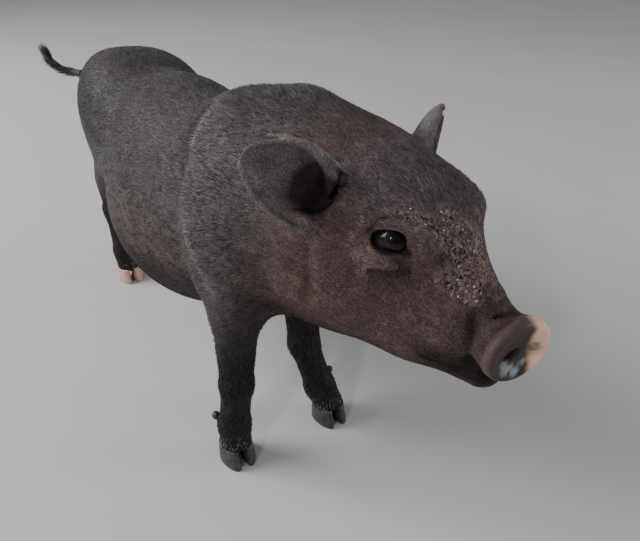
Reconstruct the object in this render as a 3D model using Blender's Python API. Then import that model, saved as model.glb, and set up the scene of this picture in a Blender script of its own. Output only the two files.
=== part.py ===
"""A young pig standing still with its head turned to its left, at life size.

Frame: +X is where the body points, +Y is the animal's left, +Z is up, z = 0 is the floor.
Units are metres. The flesh is one smooth field of distances, cut into named solids that
meet face to face with a small gap. At the end the whole is moved so that the origin lies under
the middle of its box.
"""
import random
from math import cos, pi, radians, sin

import bmesh
import bpy
import numpy as np
from mathutils import Matrix, Vector

GAP = 0.0003

# Body and legs
HOOF_HEIGHT = 0.0135
CLAW_LENGTH = 0.0235
CLAW_WIDTH = 0.0128
CLEFT = 0.0012
FRONT_FOOT_X = 0.1240
HIND_FOOT_X = -0.1460
FRONT_TRACK = 0.0365
HIND_TRACK = 0.0350

# Head, in its own frame: origin midway between the eyes, +X towards the snout
HEAD_AT = (0.201, 0.040, 0.189)
HEAD_TURN = (15.0, 9.0, 0.0)
EYE_AT = (0.0010, 0.0220, 0.0035)
EYE_RADIUS = 0.0092
EYE_OUT = (0.42, 0.86, 0.22)
EYE_ALONG = (0.96, 0.0, 0.275)
EYE_OPEN = (0.0080, 0.0054, 0.0064)
EYE_OPEN_AT = (-0.0008, 0.0013)
NOSE_AT = (0.0659, -0.0063, -0.0266)
NOSE_TURN = (-18.0, -8.0, 0.0)
NOSE_SIZE = (0.0044, 0.0186, 0.0160)
NOSE_EDGE = 0.0038
LIP_AT = (-0.0080, 0.0, -0.0010)
LIP_SIZE = (0.0085, 0.0162, 0.0134)
NOSTRIL_AT = (0.0068, 0.0010)
NOSTRIL_SIZE = (0.0060, 0.0048, 0.0021)
NOSTRIL_ROLL = -26.0
NOSE_BACK = 0.0040
HEAD_CUT_AT = (-0.060, 0.0, 0.020)
HEAD_CUT_OUT = (0.95, 0.0, 0.31)

# The line where the shoulder rises from the flank: its height and its place along the trunk
SHOULDER_Z = (0.157, 0.169, 0.179, 0.193, 0.213, 0.228)
SHOULDER_X = (0.138, 0.1245, 0.1165, 0.102, 0.091, 0.091)
SHOULDER_RISE = 0.0036

# Where the neck begins
NECK_AT = (0.120, 0.014, 0.178)
NECK_OUT = (0.93, 0.22, 0.30)

# The rooms in which the legs are parted from the trunk: middle and half sizes
LEG_ROOMS = {
    "leg_front_right": ((0.124, -0.041, 0.060), (0.043, 0.034, 0.080)),
    "leg_front_left": ((0.120, 0.044, 0.060), (0.043, 0.034, 0.080)),
    "leg_hind_right": ((-0.133, -0.045, 0.066), (0.050, 0.037, 0.090)),
    "leg_hind_left": ((-0.133, 0.045, 0.066), (0.050, 0.037, 0.090)),
}

# Ears, in the head's frame: root, direction to the tip, direction that the cup faces.
# The last is the middle of the hollow at its root, along the ear, across it and outwards.
EARS = {
    "ear_right": (
        (-0.026, -0.042, 0.0180), (-0.72, -0.52, 0.40), (0.50, -0.68, 0.36), (0.0040, -0.0005, -0.0085)
    ),
    "ear_left": (
        (-0.026, 0.0412, 0.0135), (-0.57, 0.71, 0.24), (0.80, 0.48, 0.10), (0.0030, 0.0015, -0.0050)
    ),
}
EAR_LENGTH = 0.0395
EAR_WIDTH = 0.0180
EAR_CUP = 0.014
EAR_ROOT = 0.010
EAR_SINK = 0.012
EAR_MARGIN = 0.0016
EAR_HOLLOW = (0.0100, 0.0108, 0.0085)

# Tail: points along it, its thickness there, and the hairs of its tuft
TAIL = [(-0.150, -0.004, 0.188), (-0.168, -0.017, 0.193), (-0.184, -0.0345, 0.1955)]
TAIL += [(-0.199, -0.045, 0.1963), (-0.2105, -0.053, 0.2012), (-0.220, -0.0555, 0.2085)]
TAIL_RADII = [0.0082, 0.0064, 0.0042, 0.0030, 0.0024, 0.0015]
LOCK_SIZES = (0.013, 0.016, 0.019)
LOCK_COUNT = 14
LOCK_WIDTH = 0.0015
LOCK_THICKNESS = 0.0007

# Width of a grid cell and number of triangles, for each kind of solid
TORSO_NET = (0.0045, 1700)
NECK_NET = (0.0035, 700)
HEAD_NET = (0.00135, 4200)
FRONT_LEG_NET = (0.0028, 560)
HIND_LEG_NET = (0.0028, 600)

SHARP_ANGLE = 50
SEED = 7


def turn_of(yaw, pitch, roll):
    """The rotation of a frame turned left, nodded down and rolled, in degrees."""
    y, p, r = radians(yaw), radians(pitch), radians(roll)
    about_z = np.array([[cos(y), -sin(y), 0], [sin(y), cos(y), 0], [0, 0, 1]])
    about_y = np.array([[cos(p), 0, sin(p)], [0, 1, 0], [-sin(p), 0, cos(p)]])
    about_x = np.array([[1, 0, 0], [0, cos(r), -sin(r)], [0, sin(r), cos(r)]])
    return about_z @ about_y @ about_x


HEAD_FRAME = turn_of(*HEAD_TURN)


def unit(v):
    v = np.array(v, float)
    return v / np.linalg.norm(v)


def eye_frame(side):
    """Columns: along the eye opening, up across it, and outwards."""
    out = unit((EYE_OUT[0], side * EYE_OUT[1], EYE_OUT[2]))
    along = np.array(EYE_ALONG)
    along = unit(along - out * (along @ out))
    across = np.cross(out, along)
    if across[2] < 0:
        across = -across
    return np.stack([along, across, out], 1)


def ear_frame(axis, face):
    """Columns: towards the ear's tip, across it, and the way its cup faces, in the head's frame."""
    axis = unit(axis)
    face = np.array(face, float)
    face = unit(face - axis * (face @ axis))
    return np.stack([axis, np.cross(face, axis), face], 1)


def ellipsoid(p, centre, radii, turn=None):
    q = p - np.array(centre, np.float32)
    if turn is not None:
        q = q @ np.asarray(turn, np.float32)
    a = np.linalg.norm(q / np.array(radii, np.float32), axis=-1)
    b = np.linalg.norm(q / np.array(radii, np.float32) ** 2, axis=-1)
    return a * (a - 1) / np.maximum(b, 1e-9)


def cone(p, a, b, ra, rb):
    """A rounded limb from a to b."""
    a = np.array(a, np.float32)
    ab = np.array(b, np.float32) - a
    t = np.clip((p - a) @ ab / (ab @ ab), 0, 1)
    return np.linalg.norm(p - a - t[..., None] * ab, axis=-1) - (ra + (rb - ra) * t)


def plate(p, centre, size, turn, edge):
    """An oval disc with a rounded edge. Its size is half its thickness and its two radii."""
    q = (p - np.array(centre, np.float32)) @ np.asarray(turn, np.float32)
    ring = np.linalg.norm(q[..., 1:] / np.array(size[1:], np.float32), axis=-1)
    out = (ring - 1) * min(size[1:]) + edge
    ahead = np.abs(q[..., 0]) - size[0] + edge
    return np.hypot(np.maximum(out, 0), np.maximum(ahead, 0)) + np.minimum(np.maximum(out, ahead), 0) - edge


def chain(p, points, radii):
    """A rounded line through several points."""
    d = cone(p, points[0], points[1], radii[0], radii[1])
    for i in range(1, len(points) - 1):
        d = np.minimum(d, cone(p, points[i], points[i + 1], radii[i], radii[i + 1]))
    return d


def join(d, e, k):
    h = np.maximum(k - np.abs(d - e), 0) / k
    return np.minimum(d, e) - h * h * k * 0.25


def carve(d, e, k):
    return -join(-d, e, k)


def ramp(x, low, high):
    """0 below low, 1 above high, and a smooth rise between."""
    t = np.clip((x - low) / (high - low), 0, 1)
    return t * t * (3 - 2 * t)


def head_shape(q):
    """The head, in its own frame."""
    d = ellipsoid(q, (-0.030, 0, -0.003), (0.046, 0.037, 0.033))
    d = join(d, ellipsoid(q, (-0.002, 0, -0.002), (0.0315, 0.026, 0.0255)), 0.02)
    for s in (-1, 1):
        d = join(d, ellipsoid(q, (-0.034, s * 0.026, -0.030), (0.038, 0.023, 0.034)), 0.02)
        d = join(d, ellipsoid(q, (0.006, s * 0.015, -0.038), (0.036, 0.018, 0.024)), 0.02)
        d = join(d, ellipsoid(q, (0.002, s * 0.0215, 0.012), (0.017, 0.009, 0.009)), 0.012)
    d = join(d, cone(q, (0.014, 0, -0.014), (0.056, -0.004, -0.0262), 0.020, 0.0125), 0.016)
    d = join(d, cone(q, (-0.02, 0, -0.053), (0.0525, -0.002, -0.0503), 0.0225, 0.0115), 0.012)
    disc = turn_of(*NOSE_TURN)
    behind = np.array(NOSE_AT) + disc @ np.array(LIP_AT)
    return join(d, ellipsoid(q, behind, LIP_SIZE, turn=disc), 0.005)


def head_detail(q, d):
    """Lids, the nose disc, lips and nostrils, on the head in its own frame."""
    disc = turn_of(*NOSE_TURN)
    d = join(d, plate(q, NOSE_AT, NOSE_SIZE, disc, NOSE_EDGE), 0.006)
    for s in (-1, 1):
        hole = np.array(NOSE_AT) + disc @ np.array((0.0045, s * NOSTRIL_AT[0], NOSTRIL_AT[1]))
        d = carve(d, ellipsoid(q, hole, NOSTRIL_SIZE, turn=disc @ turn_of(0, 0, s * NOSTRIL_ROLL)), 0.0012)
    for s in (-1, 1):
        at = np.array((EYE_AT[0], s * EYE_AT[1], EYE_AT[2]))
        frame = eye_frame(s)
        d = carve(d, ellipsoid(q, at + frame[:, 2] * 0.010, (0.0125, 0.0090, 0.0050), turn=frame), 0.006)
        d = join(d, ellipsoid(q, at, (0.0112,) * 3), 0.003)
        front = at + frame @ np.array((*EYE_OPEN_AT, 0.0108))
        d = carve(d, ellipsoid(q, front, EYE_OPEN, turn=frame), 0.0012)
        # The lips part below the nose disc and run back along the cheek.
        line = [(0.0640, s * 0.001, -0.0450), (0.0570, s * 0.0120, -0.0475), (0.0485, s * 0.0142, -0.0489)]
        line += [(0.0410, s * 0.0178, -0.0480), (0.0340, s * 0.0235, -0.0452), (0.0270, s * 0.0275, -0.0415)]
        d = carve(d, chain(q, line, (0.0017, 0.0016, 0.0016, 0.0015, 0.0013, 0.0008)), 0.0016)
    for base, axis, face, hollow in EARS.values():
        frame = ear_frame(axis, face)
        middle = np.array(base) + frame @ np.array(hollow)
        d = carve(d, ellipsoid(q, middle, EAR_HOLLOW, turn=frame), 0.002)
    return d


def body_shape(p):
    """The trunk and neck."""
    d = ellipsoid(p, (-0.005, 0, 0.151), (0.115, 0.057, 0.074))
    d = join(d, ellipsoid(p, (-0.015, 0, 0.116), (0.095, 0.059, 0.050)), 0.03)
    d = join(d, ellipsoid(p, (-0.105, 0, 0.160), (0.064, 0.046, 0.062)), 0.03)
    d = join(d, ellipsoid(p, (-0.108, -0.021, 0.183), (0.058, 0.033, 0.044)), 0.02)
    d = join(d, ellipsoid(p, (-0.108, 0.010, 0.176), (0.056, 0.036, 0.044)), 0.02)
    d = join(d, ellipsoid(p, (0.075, 0.002, 0.160), (0.060, 0.046, 0.058)), 0.03)
    d = join(d, ellipsoid(p, (0.104, 0.004, 0.197), (0.050, 0.036, 0.043)), 0.02)
    d = join(d, ellipsoid(p, (0.122, 0.010, 0.152), (0.036, 0.045, 0.044)), 0.02)
    d = join(d, cone(p, (0.130, 0.010, 0.174), (0.155, 0.030, 0.180), 0.051, 0.049), 0.014)
    d = join(d, ellipsoid(p, (0.133, 0.021, 0.199), (0.044, 0.031, 0.043)), 0.02)
    for s in (-1, 1):
        d = join(d, ellipsoid(p, (-0.127, s * 0.024, 0.132), (0.046, 0.023, 0.058)), 0.02)
        d = join(d, ellipsoid(p, (0.124, s * 0.034 + 0.007, 0.158), (0.034, 0.024, 0.048)), 0.012)
    ahead = p[..., 0] - np.interp(p[..., 2], SHOULDER_Z, SHOULDER_X).astype(np.float32)
    rise = ramp(ahead, -0.003, 0.007) * (1 - ramp(ahead, 0.010, 0.050))
    rise = rise * ramp(np.abs(p[..., 1] - 0.008), 0.010, 0.026) * ramp(p[..., 2], 0.138, 0.162)
    return d - SHOULDER_RISE * rise


def leg_shape(p, fore, s):
    """One leg: s is -1 on the right and 1 on the left."""
    if fore:
        y = s * FRONT_TRACK
        elbow, knee = (0.125, -0.029, 0.112), (0.1265, -0.033, 0.066)
        fetlock = (FRONT_FOOT_X - 0.003, y + 0.001, 0.029)
        if s > 0:
            elbow, knee = (0.106, 0.026, 0.112), (0.112, 0.0235, 0.066)
            fetlock = (FRONT_FOOT_X - 0.005, y - 0.005, 0.029)
        d = cone(p, elbow, knee, 0.0150, 0.0110)
        d = join(d, cone(p, knee, fetlock, 0.0110, 0.0098), 0.006)
        return join(d, cone(p, fetlock, (FRONT_FOOT_X - 0.001, y, 0.013), 0.0106, 0.0108), 0.006)
    y = s * HIND_TRACK
    hock, fetlock = (-0.165, s * 0.033, 0.070), (HIND_FOOT_X - 0.006, y, 0.029)
    d = cone(p, (-0.127, s * 0.028, 0.112), hock, 0.023, 0.0120)
    d = join(d, cone(p, hock, fetlock, 0.0117, 0.0098), 0.008)
    return join(d, cone(p, fetlock, (HIND_FOOT_X - 0.001, y, 0.013), 0.0104, 0.0106), 0.006)


def to_head(p):
    return (p - np.array(HEAD_AT, np.float32)) @ HEAD_FRAME.astype(np.float32)


def flesh(p):
    """Distance to the skin, negative inside."""
    d = body_shape(p)
    for fore in (True, False):
        for s in (-1, 1):
            d = join(d, leg_shape(p, fore, s), 0.014)
    q = to_head(p)
    return head_detail(q, join(d, head_shape(q), 0.02))


def plain_flesh(p):
    """The same without the head's fine detail, for the parts behind it."""
    d = body_shape(p)
    for fore in (True, False):
        for s in (-1, 1):
            d = join(d, leg_shape(p, fore, s), 0.014)
    return join(d, head_shape(to_head(p)), 0.02)


# Solids from a field

CORNERS = [(i & 1, i >> 1 & 1, i >> 2 & 1) for i in range(8)]
SIMPLICES = [(0, 1, 3, 7), (0, 1, 5, 7), (0, 2, 3, 7), (0, 2, 6, 7), (0, 4, 5, 7), (0, 4, 6, 7)]


def simplex_cases():
    """For each of a cube's six simplices and each pattern of corners inside it, the triangles that part
    inside from outside, as pairs of corners, facing outwards."""
    cases = []
    spots = np.array(CORNERS, float)
    for simplex in SIMPLICES:
        for pattern in range(1, 15):
            inside = [c for k, c in enumerate(simplex) if pattern >> k & 1]
            outside = [c for k, c in enumerate(simplex) if not pattern >> k & 1]
            if len(inside) == 2:
                (a, b), (c, d) = inside, outside
                triangles = [[(a, c), (a, d), (b, d)], [(a, c), (b, d), (b, c)]]
            else:
                triangles = [[(i, o) for i in inside for o in outside]]
            away = spots[outside].mean(0) - spots[inside].mean(0)
            for triangle in triangles:
                x, y, z = [spots[list(pair)].mean(0) for pair in triangle]
                if np.cross(y - x, z - x) @ away < 0:
                    triangle.reverse()
                cases.append((simplex, pattern, triangle))
    return cases


def surface_net(field, low, high, step):
    """A closed mesh of triangles where the field is zero, its points moved onto the field."""
    low = np.array(low, float)
    count = np.ceil((np.array(high) - low) / step).astype(int) + 1
    ticks = [np.float32(low[i]) + np.arange(count[i], dtype=np.float32) * np.float32(step) for i in range(3)]
    values = np.empty(count, np.float32)
    for i in range(0, count[0], 8):
        grid = np.stack(np.meshgrid(ticks[0][i : i + 8], ticks[1], ticks[2], indexing="ij"), -1)
        values[i : i + 8] = field(grid)
    values[np.abs(values) < 1e-7] = 1e-7
    for axis in range(3):
        rim = [slice(None)] * 3
        for end in (0, -1):
            rim[axis] = end
            values[tuple(rim)] = np.maximum(values[tuple(rim)], step)
    flat = values.ravel()
    strides = np.array((count[1] * count[2], count[2], 1))
    offsets = np.array(CORNERS) @ strides
    cells = count - 1
    below = values < 0
    signs = np.stack([below[x : x + cells[0], y : y + cells[1], z : z + cells[2]] for x, y, z in CORNERS])
    inside_count = signs.sum(0)
    active = np.argwhere((inside_count > 0) & (inside_count < 8)) @ strides
    inside = {k: flat[active + offsets[k]] < 0 for k in range(8)}
    pairs = []
    for simplex, pattern, triangle in simplex_cases():
        hit = np.ones(len(active), bool)
        for k, corner in enumerate(simplex):
            hit &= inside[corner] == bool(pattern >> k & 1)
        here = active[hit]
        ends = [np.sort(np.stack([here + offsets[a], here + offsets[b]], 1), 1) for a, b in triangle]
        pairs.append(np.stack(ends, 1))
    pairs = np.concatenate(pairs)
    keys = pairs[..., 0].astype(np.int64) * flat.size + pairs[..., 1]
    unique, faces = np.unique(keys, return_inverse=True)
    first, second = unique // flat.size, unique % flat.size
    share = (flat[first] / (flat[first] - flat[second]))[:, None]
    share = np.clip(share, 0.02, 0.98)
    where = [np.stack(np.unravel_index(k, tuple(count)), 1) for k in (first, second)]
    points = low + step * (where[0] * (1 - share) + where[1] * share)
    return settle_on(field, points, step), faces.reshape(-1, 3)


def slope(field, points, reach):
    steps = np.eye(3, dtype=np.float32) * reach
    return np.stack([field(points + s) - field(points - s) for s in steps], -1) / (2 * reach)


def settle_on(field, points, step):
    points = points.astype(np.float32)
    for _ in range(2):
        rise = slope(field, points, 0.0004)
        move = field(points)[:, None] * rise / np.maximum((rise * rise).sum(1, keepdims=True), 0.2)
        points -= np.clip(move, -0.4 * step, 0.4 * step)
    return points


def new_object(name, points, faces):
    mesh = bpy.data.meshes.new(name)
    mesh.from_pydata([tuple(map(float, p)) for p in points], [], [tuple(map(int, f)) for f in faces])
    mesh.update()
    obj = bpy.data.objects.new(name, mesh)
    bpy.context.scene.collection.objects.link(obj)
    return obj


def from_bmesh(name, bm):
    bmesh.ops.recalc_face_normals(bm, faces=bm.faces)
    mesh = bpy.data.meshes.new(name)
    bm.to_mesh(mesh)
    bm.free()
    obj = bpy.data.objects.new(name, mesh)
    bpy.context.scene.collection.objects.link(obj)
    return obj


def settled(obj):
    """Applies the object's modifiers."""
    graph = bpy.context.evaluated_depsgraph_get()
    made = bpy.data.meshes.new_from_object(obj.evaluated_get(graph))
    obj.modifiers.clear()
    obj.data = made
    return obj


def fewer(obj, triangles):
    """Collapses the flattest edges until about this many triangles are left."""
    now = sum(len(f.vertices) - 2 for f in obj.data.polygons)
    if now > triangles:
        modifier = obj.modifiers.new("fewer faces", "DECIMATE")
        modifier.ratio = triangles / now
        settled(obj)
    return obj


def flesh_solid(name, field, low, high, step, triangles):
    return fewer(new_object(name, *surface_net(field, low, high, step)), triangles)


def remove(obj):
    bpy.data.objects.remove(obj)


def boolean(obj, other, operation, keep=False, solver="EXACT"):
    """Cuts obj by other, or keeps what they share, and applies it."""
    modifier = obj.modifiers.new(operation.lower(), "BOOLEAN")
    modifier.operation = operation
    modifier.solver = solver
    modifier.object = other
    settled(obj)
    if not keep:
        remove(other)
    return obj


def largest(obj):
    """Keeps the largest closed surface of the mesh."""
    bm = bmesh.new()
    bm.from_mesh(obj.data)
    bm.faces.ensure_lookup_table()
    seen, groups = set(), []
    for face in bm.faces:
        if face in seen:
            continue
        group, stack = [], [face]
        seen.add(face)
        while stack:
            f = stack.pop()
            group.append(f)
            for edge in f.edges:
                for other in edge.link_faces:
                    if other not in seen:
                        seen.add(other)
                        stack.append(other)
        groups.append(group)
    groups.sort(key=lambda g: sum(f.calc_area() for f in g))
    extra = [f for g in groups[:-1] for f in g]
    if extra:
        bmesh.ops.delete(bm, geom=extra, context="FACES")
        loose = [v for v in bm.verts if not v.link_faces]
        bmesh.ops.delete(bm, geom=loose, context="VERTS")
    bm.to_mesh(obj.data)
    bm.free()
    return obj


def plane_block(point, out, side):
    """A large block whose one face passes through the point, facing along out. side moves the face."""
    bm = bmesh.new()
    size = 0.6
    bmesh.ops.create_cube(bm, size=size)
    out = Vector(out).normalized()
    turn = out.to_track_quat("X", "Z").to_matrix().to_4x4()
    middle = Vector(point) + out * (size / 2 + side)
    bmesh.ops.transform(bm, matrix=Matrix.Translation(middle) @ turn, verts=bm.verts)
    return from_bmesh("block", bm)


def ball(centre, radii, turn=None, segments=28, rings=18, name="ball"):
    bm = bmesh.new()
    bmesh.ops.create_uvsphere(bm, u_segments=segments, v_segments=rings, radius=1.0)
    matrix = Matrix.Diagonal((*radii, 1.0))
    if turn is not None:
        matrix = Matrix(turn.tolist()).to_4x4() @ matrix
    bmesh.ops.transform(bm, matrix=Matrix.Translation(centre) @ matrix, verts=bm.verts)
    return from_bmesh(name, bm)


def swollen(obj, by):
    """A copy of the solid, grown by this much."""
    copy = obj.copy()
    copy.data = obj.data.copy()
    bpy.context.scene.collection.objects.link(copy)
    modifier = copy.modifiers.new("grow", "DISPLACE")
    modifier.strength = by
    modifier.mid_level = 0.0
    return settled(copy)


def within(p, point, out, back):
    """Distance beyond a plane set back from the point."""
    return -((p - np.array(point, np.float32)) @ unit(out).astype(np.float32)) - back


def head_plane():
    return np.array(HEAD_AT) + HEAD_FRAME @ np.array(HEAD_CUT_AT), HEAD_FRAME @ unit(HEAD_CUT_OUT)


def make_flesh():
    """Trunk, neck, head, nose and legs, cut from the one field."""
    point, out = head_plane()
    made = {}

    def torso_field(p):
        return np.maximum(plain_flesh(p), -within(p, NECK_AT, NECK_OUT, -0.010))

    torso = flesh_solid("torso", torso_field, (-0.20, -0.09, 0.045), (0.18, 0.09, 0.25), *TORSO_NET)
    boolean(torso, plane_block(NECK_AT, NECK_OUT, -GAP / 2), "DIFFERENCE")
    for centre, radii in LEG_ROOMS.values():
        boolean(torso, ball(centre, [r + GAP for r in radii]), "DIFFERENCE")
    made["torso"] = largest(torso)

    def neck_field(p):
        d = np.maximum(plain_flesh(p), within(p, NECK_AT, NECK_OUT, 0.010))
        return np.maximum(d, -within(p, point, out, -0.010))

    neck = flesh_solid("neck", neck_field, (0.06, -0.06, 0.07), (0.20, 0.12, 0.26), *NECK_NET)
    boolean(neck, plane_block(NECK_AT, NECK_OUT, GAP / 2), "INTERSECT")
    boolean(neck, plane_block(point, out, -GAP / 2), "DIFFERENCE")
    for name in ("leg_front_right", "leg_front_left"):
        centre, radii = LEG_ROOMS[name]
        boolean(neck, ball(centre, [r + GAP for r in radii]), "DIFFERENCE")
    made["neck"] = largest(neck)

    def head_field(p):
        return np.maximum(np.maximum(flesh(p), within(p, point, out, 0.006)), 0.104 - p[..., 2])

    low, high = (0.115, -0.035, 0.100), (0.295, 0.120, 0.255)
    head = flesh_solid("head", head_field, low, high, *HEAD_NET)
    boolean(head, plane_block(point, out, GAP / 2), "INTERSECT")
    for name in ("leg_front_right", "leg_front_left"):
        centre, radii = LEG_ROOMS[name]
        boolean(head, ball(centre, [r + GAP for r in radii]), "DIFFERENCE")
    nose = head.copy()
    nose.data = head.data.copy()
    nose.name = "nose"
    bpy.context.scene.collection.objects.link(nose)
    lean = HEAD_FRAME @ turn_of(*NOSE_TURN)
    nose_at = np.array(HEAD_AT) + HEAD_FRAME @ np.array(NOSE_AT) - lean[:, 0] * NOSE_BACK
    boolean(nose, plane_block(nose_at, lean[:, 0], GAP / 2), "INTERSECT")
    boolean(head, plane_block(nose_at, lean[:, 0], -GAP / 2), "DIFFERENCE")
    for s in (-1, 1):
        at = np.array(HEAD_AT) + HEAD_FRAME @ np.array((EYE_AT[0], s * EYE_AT[1], EYE_AT[2]))
        frame = HEAD_FRAME @ eye_frame(s)
        boolean(head, ball(at, (EYE_RADIUS + GAP,) * 3, frame, 16, 11), "DIFFERENCE")
        name = "eye_left" if s > 0 else "eye_right"
        made[name] = ball(at, (EYE_RADIUS,) * 3, frame, 16, 11, name)
    made["head"] = largest(head)
    made["nose"] = largest(nose)

    for name, (centre, radii) in LEG_ROOMS.items():
        fore = "front" in name

        def leg_field(p, centre=centre, radii=radii):
            room = ellipsoid(p, centre, [r + 0.006 for r in radii])
            return np.maximum(np.maximum(plain_flesh(p), room), HOOF_HEIGHT - 0.004 - p[..., 2])

        reach = np.array(radii) + 0.012
        low, high = np.array(centre) - reach, np.array(centre) + reach
        low[2] = 0.0
        leg = flesh_solid(name, leg_field, low, high, *(FRONT_LEG_NET if fore else HIND_LEG_NET))
        boolean(leg, ball(centre, radii), "INTERSECT")
        boolean(leg, plane_block((0, 0, HOOF_HEIGHT + GAP), (0, 0, 1), 0), "INTERSECT")
        made[name] = largest(leg)
    return made


def claw(name, foot_x, y, s):
    """One half of a hoof: s is the side it lies on from the cleft, -1 to the right."""
    bm = bmesh.new()
    rings = []
    levels = ((0.0, 0.96, 0.0), (0.0012, 1.0, 0.0), (0.007, 0.95, -0.0009), (HOOF_HEIGHT, 0.88, -0.0020))
    count = 16
    for z, scale, shift in levels:
        ring = []
        for i in range(count):
            a = 2 * pi * i / count
            x = 0.5 * CLAW_LENGTH * cos(a)
            w = CLAW_WIDTH * (0.5 - 0.10 * cos(a))
            across = w * sin(a)
            if across < 0:
                across *= 0.62
            across += 0.30 * CLAW_WIDTH - 0.10 * CLAW_WIDTH * (1 + cos(a)) * 0.5
            lift = CLEFT / 2 + max(across * scale + 0.0014, 0.0)
            ring.append(bm.verts.new((foot_x + 0.0015 + shift + x * scale, y + s * lift, z)))
        rings.append(ring)
    for lower, upper in zip(rings, rings[1:]):
        for i in range(count):
            j = (i + 1) % count
            bm.faces.new((lower[i], lower[j], upper[j], upper[i]))
    bm.faces.new(rings[0])
    bm.faces.new(rings[-1])
    return from_bmesh(name, bm)


def make_feet(made):
    for fore, end in ((True, "front"), (False, "hind")):
        for s, side in ((-1, "right"), (1, "left")):
            leg = made[f"leg_{end}_{side}"]
            x = FRONT_FOOT_X if fore else HIND_FOOT_X
            y = s * (FRONT_TRACK if fore else HIND_TRACK)
            skin = swollen(leg, GAP)
            for t, place in ((-1, "inner"), (1, "outer")):
                hoof = claw(f"hoof_{end}_{side}_{place}", x, y, s * t)
                made[hoof.name] = hoof
                name = f"dewclaw_{end}_{side}_{place}"
                lean = turn_of(0, 35, s * t * -14)
                centre = (x - 0.0145, y + s * t * 0.0072, 0.0295)
                spur = ball(centre, (0.0036, 0.0034, 0.0062), lean, 8, 6, name)
                made[name] = largest(boolean(spur, skin, "DIFFERENCE", keep=True))
            remove(skin)


def ear_shell(name, base, axis, face):
    """A cupped ear: deep and narrow at its root, widest at a third, and blunt at its tip."""
    axis, side, face = (HEAD_FRAME @ ear_frame(axis, face)).T
    inner = -1 if name == "ear_right" else 1
    root = np.array(HEAD_AT) + HEAD_FRAME @ np.array(base)
    rows, cols = 14, 12
    bm = bmesh.new()
    back_grid, front_grid = [], []
    for i in range(rows + 1):
        t = i / rows
        swell = sin(pi * (0.24 + 0.76 * t) ** 1.1 * 0.985) ** 0.6
        half, cup = EAR_WIDTH * swell, 0.0035 + EAR_CUP * (1 - t) ** 0.8
        along = -EAR_ROOT + (EAR_LENGTH + EAR_ROOT) * t
        sink = EAR_SINK * max(1 - t / 0.38, 0.0) ** 2
        backs, fronts = [], []
        for j in range(cols + 1):
            v = sin(0.5 * pi * (2 * j / cols - 1))
            back = -cup * max(1 - v * v, 0.0) ** 0.5 * swell ** 0.5 + 0.006 * t * t - sink
            thick = 0.0011 + 0.0016 * (1 - t) * (1 - v * v) + EAR_MARGIN * (1 - t) * max(v * inner, 0) ** 4
            narrow = 1 - 0.08 * (1 - t) ** 2 if v * inner > 0 else 1.0
            spot = root + axis * along + side * (half * v * narrow)
            backs.append(bm.verts.new(spot + face * back))
            fronts.append(bm.verts.new(spot + face * (back + thick)))
        back_grid.append(backs)
        front_grid.append(fronts)
    for grid in (back_grid, front_grid):
        for i in range(rows):
            for j in range(cols):
                bm.faces.new((grid[i][j], grid[i][j + 1], grid[i + 1][j + 1], grid[i + 1][j]))
    rim = [(i, 0) for i in range(rows)] + [(rows, j) for j in range(cols)]
    rim += [(i, cols) for i in range(rows, 0, -1)] + [(0, j) for j in range(cols, 0, -1)]
    for (i, j), (k, m) in zip(rim, rim[1:] + rim[:1]):
        bm.faces.new((back_grid[i][j], back_grid[k][m], front_grid[k][m], front_grid[i][j]))
    return from_bmesh(name, bm)


def make_ears(made):
    skin = swollen(made["head"], GAP)
    neck = swollen(made["neck"], GAP)
    for name, (base, axis, face, _) in EARS.items():
        ear = ear_shell(name, base, axis, face)
        boolean(ear, skin, "DIFFERENCE", keep=True, solver="MANIFOLD")
        boolean(ear, neck, "DIFFERENCE", keep=True, solver="MANIFOLD")
        made[name] = largest(ear)
    remove(skin)
    remove(neck)


def tail_point(t):
    """A point on the tail's line, and its direction."""
    points = np.array(TAIL)
    place = np.linspace(0, 1, len(points))
    at = np.array([np.interp(t, place, points[:, k]) for k in range(3)])
    ahead = np.array([np.interp(min(t + 0.05, 1), place, points[:, k]) for k in range(3)])
    behind = np.array([np.interp(min(t, 0.95), place, points[:, k]) for k in range(3)])
    return at, unit(ahead - behind)


def tube(name, points, radii, sides=10):
    """A closed tapered tube through the points."""
    bm = bmesh.new()
    rings = []
    points = [np.array(p, float) for p in points]
    for i, (point, radius) in enumerate(zip(points, radii)):
        ahead = points[min(i + 1, len(points) - 1)] - points[max(i - 1, 0)]
        ahead = unit(ahead)
        right = unit(np.cross(ahead, (0, 0.2, 1)))
        up = np.cross(right, ahead)
        ring = []
        for k in range(sides):
            a = 2 * pi * k / sides
            ring.append(bm.verts.new(point + radius * (cos(a) * right + sin(a) * up)))
        rings.append(ring)
    for lower, upper in zip(rings, rings[1:]):
        for k in range(sides):
            j = (k + 1) % sides
            bm.faces.new((lower[k], lower[j], upper[j], upper[k]))
    bm.faces.new(rings[0])
    bm.faces.new(rings[-1])
    return from_bmesh(name, bm)


def lock(start, heading, bend, length, width):
    """A flat tapered lock of hair that bends as it goes."""
    bm = bmesh.new()
    heading = unit(heading)
    flat = unit(np.cross(heading, bend))
    rings = []
    for t, wide, thick in ((0.0, 0.7, 1.0), (0.35, 1.0, 0.9), (0.7, 0.75, 0.7), (1.0, 0.18, 0.35)):
        at = np.array(start) + heading * length * t + np.array(bend) * length * t * t
        w, h = flat * width * wide, unit(np.cross(flat, heading)) * LOCK_THICKNESS * thick
        rings.append([bm.verts.new(at + a * w + b * h) for a, b in ((1, 0), (0, 1), (-1, 0), (0, -1))])
    for lower, upper in zip(rings, rings[1:]):
        for k in range(4):
            j = (k + 1) % 4
            bm.faces.new((lower[k], lower[j], upper[j], upper[k]))
    bm.faces.new(rings[0])
    bm.faces.new(rings[-1])
    return from_bmesh("lock", bm)


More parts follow.
